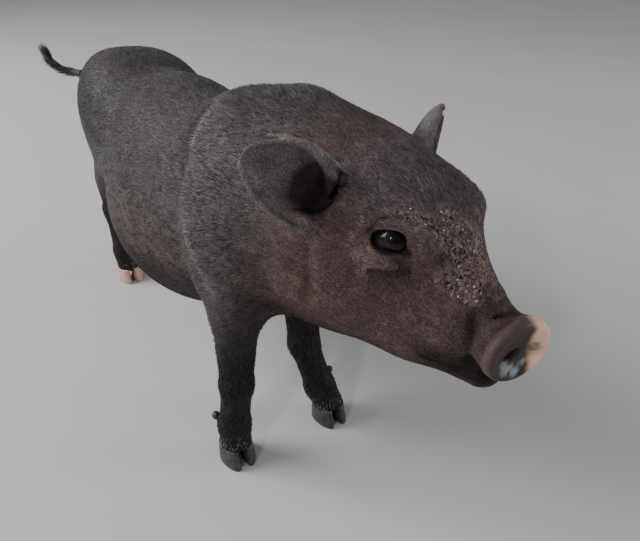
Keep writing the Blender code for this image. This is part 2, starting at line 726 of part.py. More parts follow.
def fused(name, pieces):
    """One solid from overlapping closed pieces."""
    base, others = pieces[0], pieces[1:]
    group = bpy.data.collections.new("pieces")
    bpy.context.scene.collection.children.link(group)
    for piece in others:
        bpy.context.scene.collection.objects.unlink(piece)
        group.objects.link(piece)
    modifier = base.modifiers.new("union", "BOOLEAN")
    modifier.operation = "UNION"
    modifier.operand_type = "COLLECTION"
    modifier.collection = group
    modifier.solver = "EXACT"
    settled(base)
    for piece in others:
        remove(piece)
    bpy.data.collections.remove(group)
    base.name = name
    return largest(base)


def make_tail(made):
    dice = random.Random(SEED)
    fine = np.linspace(0, 1, 14)
    points = [tail_point(t)[0] for t in fine]
    radii = [float(np.interp(t, np.linspace(0, 1, len(TAIL_RADII)), TAIL_RADII)) for t in fine]
    pieces = [tube("tail", points, radii)]
    for i in range(LOCK_COUNT):
        t = 0.55 + 0.42 * i / (LOCK_COUNT - 1)
        at, ahead = tail_point(t)
        turn = i * 2.4 + dice.uniform(-0.3, 0.3)
        right = unit(np.cross(ahead, (0, 0.2, 1)))
        up = np.cross(right, ahead)
        out = cos(turn) * right + sin(turn) * up
        heading = ahead + out * dice.uniform(0.25, 0.5)
        length = LOCK_SIZES[i % 3] * dice.uniform(0.9, 1.1)
        pieces.append(lock(at - ahead * 0.001, heading, out * -0.22, length, LOCK_WIDTH))
    tail = fused("tail", pieces)
    skin = swollen(made["torso"], GAP)
    made["tail"] = largest(boolean(tail, skin, "DIFFERENCE"))


# Materials

LOOKS = {
    "coat": ((0.030, 0.027, 0.027), 0.75),
    "legs": ((0.022, 0.022, 0.025), 0.75),
    "face": ((0.040, 0.033, 0.031), 0.72),
    "ear": ((0.034, 0.029, 0.029), 0.72),
    "nose": ((0.24, 0.17, 0.165), 0.50),
    "eye": ((0.010, 0.008, 0.007), 0.08),
    "hoof_dark": ((0.035, 0.032, 0.030), 0.45),
    "hoof_pink": ((0.42, 0.27, 0.23), 0.50),
}


def look_of(name):
    if name.startswith(("hoof_", "dewclaw_")):
        return "hoof_pink" if "hind" in name else "hoof_dark"
    if name.startswith("eye"):
        return "eye"
    if name.startswith("ear"):
        return "ear"
    return {"nose": "nose", "head": "face"}.get(name, "legs" if name.startswith("leg") else "coat")


def make_material(name):
    colour, roughness = LOOKS[look_of(name)]
    material = bpy.data.materials.new(f"{name}_material")
    material.use_nodes = True
    shader = material.node_tree.nodes["Principled BSDF"]
    shader.inputs["Base Color"].default_value = (*colour, 1.0)
    shader.inputs["Roughness"].default_value = roughness
    shader.inputs["Metallic"].default_value = 0.0
    material.diffuse_color = (*colour, 1.0)
    return material


def main():
    for obj in list(bpy.data.objects):
        bpy.data.objects.remove(obj)
    made = make_flesh()
    make_feet(made)
    make_ears(made)
    make_tail(made)
    corners = np.array([tuple(v.co) for obj in made.values() for v in obj.data.vertices])
    middle = (corners.min(0) + corners.max(0)) / 2
    for name, obj in made.items():
        obj.data.transform(Matrix.Translation((-middle[0], -middle[1], 0.0)))
        obj.name = name
        obj.data.materials.clear()
        obj.data.materials.append(make_material(name))
        for polygon in obj.data.polygons:
            polygon.material_index = 0
        obj.data.shade_smooth()
        obj.data.set_sharp_from_angle(angle=radians(SHARP_ANGLE))


main()
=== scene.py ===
"""The looks of the piglet.

The flesh is the same field of distances as the solids', drawn in by the coat's depth and meshed
finely as one skin, with the folds of the head in it. Short bristles grow over it as small solid
spikes, and scabs as small plates. Eyes, hooves and dewclaws are pieces of their own. Shapes are
worked out in the field's frame, and moved to the model's frame when their meshes are made.
"""
from contextlib import contextmanager
from math import cos, pi, radians, sin

import bmesh
import bpy
import numpy as np
from mathutils import Matrix, Vector
from mathutils.bvhtree import BVHTree


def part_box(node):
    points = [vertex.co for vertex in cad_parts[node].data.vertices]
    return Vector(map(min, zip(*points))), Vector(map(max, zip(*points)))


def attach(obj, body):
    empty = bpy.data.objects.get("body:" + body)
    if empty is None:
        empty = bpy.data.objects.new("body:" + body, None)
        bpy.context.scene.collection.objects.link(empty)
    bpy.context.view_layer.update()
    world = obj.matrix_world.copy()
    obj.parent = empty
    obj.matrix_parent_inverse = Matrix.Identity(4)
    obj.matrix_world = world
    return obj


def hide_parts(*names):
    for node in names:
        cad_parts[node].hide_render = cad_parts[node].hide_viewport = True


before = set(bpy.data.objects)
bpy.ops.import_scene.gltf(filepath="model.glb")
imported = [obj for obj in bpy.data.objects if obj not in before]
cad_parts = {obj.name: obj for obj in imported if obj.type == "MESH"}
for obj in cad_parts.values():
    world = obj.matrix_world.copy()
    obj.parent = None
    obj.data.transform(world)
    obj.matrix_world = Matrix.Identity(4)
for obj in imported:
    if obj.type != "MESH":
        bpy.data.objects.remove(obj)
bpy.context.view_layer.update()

# Feet, in the field's frame, in metres
HOOF_HEIGHT = 0.0135
CLAW_LENGTH = 0.0235
CLAW_WIDTH = 0.0128
CLEFT = 0.0012
FRONT_FOOT_X = 0.1240
HIND_FOOT_X = -0.1460
FRONT_TRACK = 0.0365
HIND_TRACK = 0.0350

# Head, in its own frame: origin midway between the eyes, +X towards the snout
HEAD_AT = (0.201, 0.040, 0.189)
HEAD_TURN = (15.0, 9.0, 0.0)
EYE_AT = (0.0010, 0.0220, 0.0035)
EYE_RADIUS = 0.0092
EYE_OUT = (0.42, 0.86, 0.22)
EYE_ALONG = (0.96, 0.0, 0.275)
EYE_GAZE = (0.52, 0.577, 0.60)
EYE_OPEN = (0.0080, 0.0054)
EYE_OPEN_AT = (-0.0008, 0.0013)
NOSE_AT = (0.0659, -0.0063, -0.0266)
NOSE_TURN = (-18.0, -8.0, 0.0)
NOSE_SIZE = (0.0044, 0.0186, 0.0160)
NOSE_EDGE = 0.0038
LIP_AT = (-0.0080, 0.0, -0.0010)
LIP_SIZE = (0.0085, 0.0162, 0.0134)
NOSTRIL_AT = (0.0068, 0.0010)
NOSTRIL_SIZE = (0.0060, 0.0048, 0.0021)
NOSTRIL_ROLL = -26.0
NECK_AT = (0.120, 0.014, 0.178)
NECK_OUT = (0.93, 0.22, 0.30)

# Ears, in the head's frame: root, direction to the tip, direction that the cup faces, middle of the hollow
EARS = {
    "ear_right": (
        (-0.026, -0.042, 0.0180),
        (-0.72, -0.52, 0.40),
        (0.50, -0.68, 0.36),
        (0.0040, -0.0005, -0.0085),
    ),
    "ear_left": (
        (-0.026, 0.0412, 0.0135),
        (-0.57, 0.71, 0.24),
        (0.80, 0.48, 0.10),
        (0.0030, 0.0015, -0.0050),
    ),
}
EAR_LENGTH = 0.0395
EAR_WIDTH = 0.0180
EAR_CUP = 0.014
EAR_ROOT = 0.010
EAR_SINK = 0.012
EAR_HOLLOW = (0.0100, 0.0108, 0.0085)

TAIL = [(-0.150, -0.004, 0.188), (-0.168, -0.017, 0.193), (-0.184, -0.0345, 0.1955)]
TAIL += [(-0.199, -0.045, 0.1963), (-0.2105, -0.053, 0.2012), (-0.220, -0.0555, 0.2085)]
TAIL_RADII = [0.0082, 0.0064, 0.0042, 0.0030, 0.0024, 0.0015]

# The line where the shoulder rises from the flank: its height and its place along the trunk
SHOULDER_Z = (0.157, 0.169, 0.179, 0.193, 0.213, 0.228)
SHOULDER_X = (0.138, 0.1245, 0.1165, 0.102, 0.091, 0.091)
SHOULDER_RISE = 0.0036
SHOULDER_MIDDLE = 0.008

# Meshing of the skin: the boxes of the trunk and head, their steps, and the coat's depth on each
BODY_BOX = ((-0.200, -0.080, 0.008), (0.185, 0.085, 0.250))
HEAD_BOX = ((0.085, -0.060, 0.098), (0.285, 0.120, 0.255))
BODY_STEP = 0.0024
HEAD_STEP = 0.00095
BODY_DEPTH = 0.0012
FACE_DEPTH = 0.0004
SLOPE_REACH = 0.0002
SMALLEST_PIECE = 3000

# Bristles, for each square metre of hide, and their sizes
BODY_DENSITY = 4.8e5
FACE_DENSITY = 8.5e5
BODY_HAIR = 0.0058
DOTTED_SHORTER = 0.0020
FACE_HAIR = 0.0030
BODY_HAIR_WIDTH = 0.000150
FACE_HAIR_WIDTH = 0.000095
BRISTLES_IN_PIECE = 21500
CRUST_DENSITY = 1.3e6
TUFT_HAIRS = 760
TUFT_HAIR_WIDTH = 0.00022
TUFT_FROM = 0.45

# Camera, in the field's frame
CAMERA_AT = (0.394, -0.129, 0.320)
CAMERA_PITCH = 31.5
CAMERA_HEADING = 30.5
CAMERA_ROLL = 0.6
CAMERA_FOCAL = 590.0
PHOTO_WIDTH = 640
SENSOR_WIDTH = 36.0

# Lights: name, place, size, strength and colour
LIGHTS = [
    ("key", (-1.00, -1.50, 1.20), 1.5, 66.0, (1.0, 0.99, 0.98)),
    ("fill", (0.95, -1.20, 0.95), 0.16, 7.0, (1.0, 0.98, 0.96)),
    ("far", (1.00, 1.50, 0.45), 0.8, 15.0, (1.0, 0.95, 0.90)),
]
LIT_PLACE = (0.08, 0.0, 0.12)

SEED = 11


# Directions and distances


def turn_of(yaw, pitch, roll):
    """The rotation of a frame turned left, nodded down and rolled, in degrees."""
    y, p, r = radians(yaw), radians(pitch), radians(roll)
    about_z = np.array([[cos(y), -sin(y), 0], [sin(y), cos(y), 0], [0, 0, 1]])
    about_y = np.array([[cos(p), 0, sin(p)], [0, 1, 0], [-sin(p), 0, cos(p)]])
    about_x = np.array([[1, 0, 0], [0, cos(r), -sin(r)], [0, sin(r), cos(r)]])
    return about_z @ about_y @ about_x


HEAD_FRAME = turn_of(*HEAD_TURN)


def unit(v):
    v = np.array(v, float)
    return v / np.linalg.norm(v, axis=-1, keepdims=True)


def eye_frame(side):
    """Columns: along the eye opening, up across it, and outwards."""
    out = unit((EYE_OUT[0], side * EYE_OUT[1], EYE_OUT[2]))
    along = np.array(EYE_ALONG)
    along = unit(along - out * (along @ out))
    across = np.cross(out, along)
    if across[2] < 0:
        across = -across
    return np.stack([along, across, out], 1)


def eye_at(side):
    """The middle of an eye, in the head's frame."""
    return np.array((EYE_AT[0], side * EYE_AT[1], EYE_AT[2]))


def eye_local(q, side):
    """Places in an eye's own frame."""
    return (q - eye_at(side)) @ eye_frame(side)


def ear_frame(name):
    """Columns: towards the ear's tip, across it, and the way its cup faces, in the head's frame."""
    _, axis, face, _ = EARS[name]
    axis = unit(axis)
    face = np.array(face, float)
    face = unit(face - axis * (face @ axis))
    return np.stack([axis, np.cross(face, axis), face], 1)


def hollow_of(name):
    """The middle of an ear's hollow, in the head's frame, and the ear's frame."""
    turned = ear_frame(name)
    base, _, _, hollow = EARS[name]
    return np.array(base) + turned @ np.array(hollow), turned


def mirrored(line, side):
    """A line of the right (-1) or the left (1), from its points on the left."""
    return [(x, side * y, z) for x, y, z in line]


def ellipsoid(p, centre, radii, turn=None):
    q = p - np.array(centre, np.float32)
    if turn is not None:
        q = q @ np.asarray(turn, np.float32)
    a = np.linalg.norm(q / np.array(radii, np.float32), axis=-1)
    b = np.linalg.norm(q / np.array(radii, np.float32) ** 2, axis=-1)
    return a * (a - 1) / np.maximum(b, 1e-9)


def cone(p, a, b, ra, rb):
    """A rounded limb from a to b."""
    a = np.array(a, np.float32)
    ab = np.array(b, np.float32) - a
    t = np.clip((p - a) @ ab / (ab @ ab), 0, 1)
    return np.linalg.norm(p - a - t[..., None] * ab, axis=-1) - (ra + (rb - ra) * t)


def plate(p, centre, size, turn, edge):
    """An oval disc with a rounded edge. Its size is half its thickness and its two radii."""
    q = (p - np.array(centre, np.float32)) @ np.asarray(turn, np.float32)
    ring = np.linalg.norm(q[..., 1:] / np.array(size[1:], np.float32), axis=-1)
    out = (ring - 1) * min(size[1:]) + edge
    ahead = np.abs(q[..., 0]) - size[0] + edge
    return np.hypot(np.maximum(out, 0), np.maximum(ahead, 0)) + np.minimum(np.maximum(out, ahead), 0) - edge


def chain(p, points, radii):
    """A rounded line through several points."""
    d = cone(p, points[0], points[1], radii[0], radii[1])
    for i in range(1, len(points) - 1):
        d = np.minimum(d, cone(p, points[i], points[i + 1], radii[i], radii[i + 1]))
    return d


def join(d, e, k):
    h = np.maximum(k - np.abs(d - e), 0) / k
    return np.minimum(d, e) - h * h * k * 0.25


def carve(d, e, k):
    return -join(-d, e, k)


def ramp(x, low, high):
    """0 below low, 1 above high, and smooth between."""
    t = np.clip((x - low) / (high - low), 0, 1)
    return t * t * (3 - 2 * t)


def blob(p, centre, reach):
    """1 at the centre, falling to 0 over about this reach."""
    q = (p - np.array(centre, np.float32)) / np.array(reach, np.float32)
    return np.exp(-(q * q).sum(-1))


def groove(q, points, width, depth):
    """How much deeper the skin lies along a crease."""
    far = chain(q, points, [0.0] * len(points))
    return depth * np.exp(-((far / width) ** 2))


def noise(p, cells_per_metre, seed):
    """Smooth noise between 0 and 1."""
    q = p * cells_per_metre + seed * 17.3
    whole = np.floor(q).astype(np.int64)
    part = q - whole
    part = part * part * (3 - 2 * part)
    total = 0
    for i in range(8):
        corner = np.array((i & 1, i >> 1 & 1, i >> 2 & 1))
        k = whole + corner
        code = (k[..., 0] * 73856093) ^ (k[..., 1] * 19349663) ^ (k[..., 2] * 83492791)
        value = ((code * 2654435761) % 4294967296) / 4294967296.0
        weight = np.prod(np.where(corner, part, 1 - part), axis=-1)
        total = total + value * weight
    return total


def cloudy(p, cells_per_metre, seed):
    return (noise(p, cells_per_metre, seed) * 2 + noise(p, cells_per_metre * 2.1, seed + 1)) / 3


# The animal's form, as in the solids


def head_shape(q):
    """The head, in its own frame."""
    d = ellipsoid(q, (-0.030, 0, -0.003), (0.046, 0.037, 0.033))
    d = join(d, ellipsoid(q, (-0.002, 0, -0.002), (0.0315, 0.026, 0.0255)), 0.02)
    for s in (-1, 1):
        d = join(d, ellipsoid(q, (-0.034, s * 0.026, -0.030), (0.038, 0.023, 0.034)), 0.02)
        d = join(d, ellipsoid(q, (0.006, s * 0.015, -0.038), (0.036, 0.018, 0.024)), 0.02)
        d = join(d, ellipsoid(q, (0.002, s * 0.0215, 0.012), (0.017, 0.009, 0.009)), 0.012)
    d = join(d, cone(q, (0.014, 0, -0.014), (0.056, -0.004, -0.0262), 0.020, 0.0125), 0.016)
    d = join(d, cone(q, (-0.02, 0, -0.053), (0.0525, -0.002, -0.0503), 0.0225, 0.0115), 0.012)
    disc = turn_of(*NOSE_TURN)
    behind = np.array(NOSE_AT) + disc @ np.array(LIP_AT)
    return join(d, ellipsoid(q, behind, LIP_SIZE, turn=disc), 0.005)


def past_shoulder(p):
    """How far ahead of the shoulder's line each place is."""
    return p[..., 0] - np.interp(p[..., 2], SHOULDER_Z, SHOULDER_X).astype(np.float32)


def beside_spine(p):
    """0 along the middle of the shoulders and 1 at their sides."""
    return ramp(np.abs(p[..., 1] - SHOULDER_MIDDLE), 0.010, 0.026)


def body_shape(p):
    """The trunk and neck."""
    d = ellipsoid(p, (-0.005, 0, 0.151), (0.115, 0.057, 0.074))
    d = join(d, ellipsoid(p, (-0.015, 0, 0.116), (0.095, 0.059, 0.050)), 0.03)
    d = join(d, ellipsoid(p, (-0.105, 0, 0.160), (0.064, 0.046, 0.062)), 0.03)
    d = join(d, ellipsoid(p, (-0.108, -0.021, 0.183), (0.058, 0.033, 0.044)), 0.02)
    d = join(d, ellipsoid(p, (-0.108, 0.010, 0.176), (0.056, 0.036, 0.044)), 0.02)
    d = join(d, ellipsoid(p, (0.075, 0.002, 0.160), (0.060, 0.046, 0.058)), 0.03)
    d = join(d, ellipsoid(p, (0.104, 0.004, 0.197), (0.050, 0.036, 0.043)), 0.02)
    d = join(d, ellipsoid(p, (0.122, 0.010, 0.152), (0.036, 0.045, 0.044)), 0.02)
    d = join(d, cone(p, (0.130, 0.010, 0.174), (0.155, 0.030, 0.180), 0.051, 0.049), 0.014)
    d = join(d, ellipsoid(p, (0.133, 0.021, 0.199), (0.044, 0.031, 0.043)), 0.02)
    for s in (-1, 1):
        d = join(d, ellipsoid(p, (-0.127, s * 0.024, 0.132), (0.046, 0.023, 0.058)), 0.02)
        d = join(d, ellipsoid(p, (0.124, s * 0.034 + 0.007, 0.158), (0.034, 0.024, 0.048)), 0.012)
    ahead = past_shoulder(p)
    rise = ramp(ahead, -0.003, 0.007) * (1 - ramp(ahead, 0.010, 0.050))
    rise = rise * beside_spine(p) * ramp(p[..., 2], 0.138, 0.162)
    return d - SHOULDER_RISE * rise


def leg_shape(p, fore, s):
    """One leg: s is -1 on the right and 1 on the left."""
    if fore:
        y = s * FRONT_TRACK
        elbow, knee = (0.125, -0.029, 0.112), (0.1265, -0.033, 0.066)
        fetlock = (FRONT_FOOT_X - 0.003, y + 0.001, 0.029)
        if s > 0:
            elbow, knee = (0.106, 0.026, 0.112), (0.112, 0.0235, 0.066)
            fetlock = (FRONT_FOOT_X - 0.005, y - 0.005, 0.029)
        d = cone(p, elbow, knee, 0.0150, 0.0110)
        d = join(d, cone(p, knee, fetlock, 0.0110, 0.0098), 0.006)
        return join(d, cone(p, fetlock, (FRONT_FOOT_X - 0.001, y, 0.013), 0.0106, 0.0108), 0.006)
    y = s * HIND_TRACK
    hock, fetlock = (-0.165, s * 0.033, 0.070), (HIND_FOOT_X - 0.006, y, 0.029)
    d = cone(p, (-0.127, s * 0.028, 0.112), hock, 0.023, 0.0120)
    d = join(d, cone(p, hock, fetlock, 0.0117, 0.0098), 0.008)
    return join(d, cone(p, fetlock, (HIND_FOOT_X - 0.001, y, 0.013), 0.0104, 0.0106), 0.006)


def to_head(p):
    return (p - np.array(HEAD_AT, np.float32)) @ HEAD_FRAME.astype(np.float32)


def from_head(q):
    return np.array(HEAD_AT) + np.asarray(q) @ HEAD_FRAME.T


# The finer form of the skin


# The fold behind the rim of the nose disc, in the disc's frame, and the wrinkle on top of the snout
RIM_FOLD = [(-0.0030, -0.0039, 0.0157), (-0.0030, -0.0089, 0.0143), (-0.0034, -0.0129, 0.0120)]
RIM_FOLD += [(-0.0038, -0.0162, 0.0085), (-0.0036, -0.0180, 0.0045), (-0.0036, -0.0186, 0.0000)]
TOP_WRINKLE = [(0.0520, -0.0105, -0.0165), (0.0535, -0.0090, -0.0152)]
TOP_WRINKLE += [(0.0553, -0.0066, -0.0136), (0.0564, -0.0020, -0.0130)]

# Lines of the snout's left side, in the head's frame, which the right side mirrors, and the ridges on top
SNOUT_CREASE = [(0.0461, 0.0141, -0.0163), (0.0477, 0.0160, -0.0194), (0.0495, 0.0168, -0.0239)]
SNOUT_CREASE += [(0.0505, 0.0168, -0.0292), (0.0505, 0.0150, -0.0373)]
SNOUT_FOLD = [(0.0610, 0.0100, -0.0112), (0.0595, 0.0160, -0.0135), (0.0580, 0.0205, -0.0180)]
SNOUT_FOLD += [(0.0590, 0.0235, -0.0250)]
MOUTH = [(0.0640, 0.001, -0.0450), (0.0570, 0.0120, -0.0475), (0.0485, 0.0142, -0.0489)]
MOUTH += [(0.0410, 0.0178, -0.0480), (0.0340, 0.0235, -0.0452), (0.0270, 0.0275, -0.0415)]
MOUTH_RADII = (0.0014, 0.0013, 0.0012, 0.0012, 0.0009, 0.0005)
RIDGES = ((0.0590, 0.0014), (0.0545, 0.0011), (0.0500, 0.0008), (0.0440, 0.0005))

# Folds round the left eye, in the head's frame, and each fold's width and depth
LID_CREASE = [(-0.0057, 0.0322, 0.0077), (-0.0048, 0.0310, 0.0125), (-0.0024, 0.0298, 0.0154)]
LID_CREASE += [(0.0007, 0.0293, 0.0176), (0.0036, 0.0284, 0.0188), (0.0075, 0.0267, 0.0197)]
LID_CREASE += [(0.0101, 0.0263, 0.0191), (0.0124, 0.0262, 0.0180)]
BROW_CREASE = [(0.0029, 0.0273, 0.0218), (0.0063, 0.0269, 0.0212), (0.0096, 0.0265, 0.0205)]
UNDER_EYE = [(0.0005, 0.0355, -0.0085), (0.0038, 0.0347, -0.0080), (0.0066, 0.0324, -0.0078)]
UNDER_EYE += [(0.0096, 0.0304, -0.0078), (0.0124, 0.0283, -0.0068), (0.0142, 0.0266, -0.0048)]
CORNER_CREASE = [(0.0111, 0.0262, 0.0033), (0.0132, 0.0245, 0.0006)]
CORNER_CREASE += [(0.0138, 0.0253, -0.0023), (0.0154, 0.0262, -0.0047)]
EYE_FOLDS = [
    (LID_CREASE, 0.0010, 0.0012),
    (BROW_CREASE, 0.0009, 0.0005),
    (UNDER_EYE, 0.0015, 0.0013),
    (CORNER_CREASE, 0.0008, 0.0008),
]


def eye_gap(local):
    """Distance to the edge of the eye's opening, and of its inner corner, across the eye."""
    a = (local[..., 0] - EYE_OPEN_AT[0]) / EYE_OPEN[0]
    c = (local[..., 1] - EYE_OPEN_AT[1]) / EYE_OPEN[1]
    gap = ((np.abs(a) ** 2.5 + np.abs(c) ** 2.5) ** 0.4 - 1) * EYE_OPEN[1]
    flat = local * np.array((1, 1, 0), np.float32)
    return gap, cone(flat, (0.0052, -0.0018, 0), (0.0096, -0.0050, 0), 0.0024, 0.0003)


def eye_opening(local):
    """How far out from the middle of the eye's opening each place is: 1 at the lids' edge."""
    gap, corner = eye_gap(local)
    return 1 + join(gap, corner, 0.0012) / EYE_OPEN[1]


def lids(q, d, s):
    """The socket, the lids as a thin ball round the eye, their opening, and the folds round them."""
    at, eye = eye_at(s), eye_frame(s)
    d = carve(d, ellipsoid(q, at + eye[:, 2] * 0.0105, (0.0120, 0.0085, 0.0040), turn=eye), 0.006)
    d = join(d, ellipsoid(q, at, (0.0109,) * 3), 0.003)
    local = (q - at.astype(np.float32)) @ eye.astype(np.float32)
    gap, corner = eye_gap(local)
    d = carve(d, np.maximum(gap, 0.0035 - local[..., 2]), 0.0008)
    d = carve(d, np.maximum(corner, 0.0068 - local[..., 2]), 0.0008)
    for line, width, deep in EYE_FOLDS:
        d = d + groove(q, mirrored(line, s), width, deep)
    bag = ellipsoid(q, (0.0035, s * 0.0315, -0.0020), (0.0085, 0.0035, 0.0034))
    return join(d, bag, 0.004)


def snout(q, d):
    """The nose disc with its nostrils, the lips, and the wrinkles behind the disc."""
    disc = turn_of(*NOSE_TURN)
    d = join(d, plate(q, NOSE_AT, NOSE_SIZE, disc, NOSE_EDGE), 0.006)
    d = d + groove(disc_frame(q), RIM_FOLD, 0.0013, 0.0016) + groove(q, TOP_WRINKLE, 0.0015, 0.0018)
    front = np.array(NOSE_AT) + disc @ np.array((NOSE_SIZE[0] + 0.0012, 0, -0.0008))
    d = carve(d, ellipsoid(q, front, (0.0022, 0.0166, 0.0136), turn=disc), 0.0022)
    for s in (-1, 1):
        d = carve(d, chain(q, mirrored(MOUTH, s), MOUTH_RADII), 0.0016)
        hole = np.array(NOSE_AT) + disc @ np.array((0.0035, s * NOSTRIL_AT[0], NOSTRIL_AT[1]))
        d = carve(d, ellipsoid(q, hole, NOSTRIL_SIZE, turn=disc @ turn_of(0, 0, s * NOSTRIL_ROLL)), 0.0012)
        d = d + groove(q, mirrored(SNOUT_FOLD, s), 0.0014, 0.0009)
        d = d + groove(q, mirrored(SNOUT_CREASE, s), 0.0028, 0.0017)
        d = join(d, ellipsoid(q, (0.0375, s * 0.0150, -0.0310), (0.0120, 0.0078, 0.0120)), 0.008)
    for x, deep in RIDGES:
        z = NOSE_AT[2] + 0.0140 + (0.0590 - x) * 0.30
        ridge = [(x - 0.0035, -0.0110, z - 0.006), (x, -0.0050, z - 0.0006), (x + 0.0006, 0.0, z)]
        ridge += [(x, 0.0050, z - 0.0006), (x - 0.0035, 0.0110, z - 0.006)]
        d = d + groove(q, ridge, 0.0012, deep)
    return d


EAR_ROWS, EAR_COLS = 30, 26


def ear_grid(name):
    """Points of the ear's middle sheet in the head's frame, and half its thickness, row by row."""
    axis, side, face = ear_frame(name).T
    inner = -1 if name == "ear_right" else 1
    points, halves = [], []
    for i in range(EAR_ROWS + 1):
        t = i / EAR_ROWS
        swell = sin(pi * (0.24 + 0.76 * t) ** 1.1 * 0.985) ** 0.6
        half, cup = EAR_WIDTH * swell, 0.0035 + EAR_CUP * (1 - t) ** 0.8
        along = -EAR_ROOT + (EAR_LENGTH + EAR_ROOT) * t
        sink = EAR_SINK * max(1 - t / 0.38, 0.0) ** 2
        for j in range(EAR_COLS + 1):
            v = sin(0.5 * pi * (2 * j / EAR_COLS - 1))
            back = -cup * max(1 - v * v, 0.0) ** 0.5 * swell ** 0.5 + 0.006 * t * t - sink
            thick = 0.0011 + 0.0016 * (1 - t) * (1 - v * v)
            narrow = 1 - 0.08 * (1 - t) ** 2 if v * inner > 0 else 1.0
            spot = np.array(EARS[name][0]) + axis * along + side * (half * v * narrow * 0.975)
            points.append(spot + face * (back + thick / 2))
            halves.append(max(thick / 2, 0.0009))
    return np.array(points), np.array(halves)


class EarSheet:
    """Distance to one ear, found from the nearest point of its middle sheet."""

    def __init__(self, name):
        points, halves = ear_grid(name)
        faces, self.thick = [], []
        for i in range(EAR_ROWS):
            for j in range(EAR_COLS):
                k = i * (EAR_COLS + 1) + j
                faces.append((k, k + 1, k + EAR_COLS + 2, k + EAR_COLS + 1))
                self.thick.append(halves[k])
        self.tree = BVHTree.FromPolygons([Vector(p) for p in points], faces)
        self.low, self.high = points.min(0) - 0.008, points.max(0) + 0.008

    def distance(self, q):
        outside = np.maximum(np.maximum(self.low - q, q - self.high), 0)
        d = np.linalg.norm(outside, axis=-1) + 0.006
        near = np.argwhere(~outside.any(-1).reshape(-1))[:, 0]
        flat, points = d.reshape(-1), q.reshape(-1, 3)
        for k in near:
            _, _, index, far = self.tree.find_nearest(Vector(points[k]))
            flat[k] = far - self.thick[index]
        return flat.reshape(d.shape)


EAR_SHEETS = {name: EarSheet(name) for name in EARS}

# The thick rolled margin of the ear's front, in the ear's frame, for a right ear, and its two folds
EAR_MARGIN = [(0.0335, -0.0122, -0.0004), (0.0274, -0.0148, 0.0004), (0.0187, -0.0163, 0.0010)]
EAR_MARGIN += [(0.0111, -0.0156, 0.0000), (0.0056, -0.0135, -0.0030), (0.0019, -0.0100, -0.0050)]
EAR_MARGIN += [(-0.0005, -0.0053, -0.0075), (-0.0021, -0.0008, -0.0095)]
EAR_MARGIN_RADII = (0.0007, 0.0013, 0.0018, 0.0024, 0.0030, 0.0034, 0.0028, 0.0016)
EAR_FOLD = [(0.0012, -0.0164, -0.0118), (-0.0021, -0.0149, -0.0078), (-0.0037, -0.0125, -0.0034)]
EAR_FOLD += [(-0.0047, -0.0086, -0.0054), (-0.0051, -0.0035, -0.0100), (-0.0041, 0.0010, -0.0108)]
EAR_LOBE_AT = (0.0035, 0.0138, -0.0040)


def ear_local(q, name):
    """Places in one ear's frame, turned so that both ears read as a right ear."""
    local = (q - np.array(EARS[name][0], np.float32)) @ ear_frame(name).astype(np.float32)
    return local if name == "ear_right" else local * np.array((1, -1, 1), np.float32)


def ear_parts(q, d):
    """The rolled margins, folds and lobes of the ears."""
    for name in EARS:
        local = ear_local(q, name)
        size = 1.0 if name == "ear_right" else 0.6
        first = 0 if name == "ear_right" else 2
        d = join(d, chain(local, EAR_MARGIN[first:], [r * size for r in EAR_MARGIN_RADII[first:]]), 0.0022)
        d = join(d, ellipsoid(local, EAR_LOBE_AT, (0.0062, 0.0036, 0.0030)), 0.003)
        d = d + groove(local, EAR_FOLD, 0.0011, 0.0013)
        inner = [(x + 0.0016, y + 0.0008, z + 0.0006) for x, y, z in EAR_FOLD]
        d = d + groove(local, inner, 0.0008, 0.0008)
    return d


def hollows(q, d):
    for name in EARS:
        middle, turned = hollow_of(name)
        d = carve(d, ellipsoid(q, middle, EAR_HOLLOW, turn=turned), 0.002)
    return d


# The crease from the right ear's root down the neck
UNDER_EAR = [(0.187, -0.0115, 0.197), (0.189, -0.0135, 0.187), (0.190, -0.0150, 0.174)]
UNDER_EAR += [(0.187, -0.015, 0.159)]


def coat_depth(p):
    """How far the skin lies under the tips of the coat."""
    q = to_head(p)
    face = ramp(q[..., 0], -0.065, -0.030)
    foot = 1 - ramp(p[..., 2], 0.030, 0.070)
    thin = np.maximum(face, foot)
    return BODY_DEPTH + (FACE_DEPTH - BODY_DEPTH) * thin


def trunk_skin(p):
    """Distance to the skin, without the fine forms of the head."""
    d = body_shape(p)
    for fore in (True, False):
        for s in (-1, 1):
            d = join(d, leg_shape(p, fore, s), 0.014)
    d = join(d, chain(p, TAIL[:4], [r - 0.0005 for r in TAIL_RADII[:4]]), 0.008)
    d = join(d, head_shape(to_head(p)), 0.02)
    d = d + coat_depth(p)
    return np.maximum(d, HOOF_HEIGHT - 0.0015 - p[..., 2])


def head_skin(p):
    """Distance to the skin with lids, snout and ears."""
    d = trunk_skin(p)
    q = to_head(p)
    for s in (-1, 1):
        d = lids(q, d, s)
    d = snout(q, d)
    d = hollows(q, d)
    d = d + groove(p, UNDER_EAR, 0.0030, 0.0016)
    for sheet in EAR_SHEETS.values():
        d = join(d, sheet.distance(q), 0.0045)
    return ear_parts(q, d)


# Meshes from a field

CORNERS = np.array([(i & 1, i >> 1 & 1, i >> 2 & 1) for i in range(8)])
CELL_EDGES = [(a, a | 1 << k) for a in range(8) for k in range(3) if not a >> k & 1]
BLOCK = 8
BLOCKS_AT_ONCE = 400


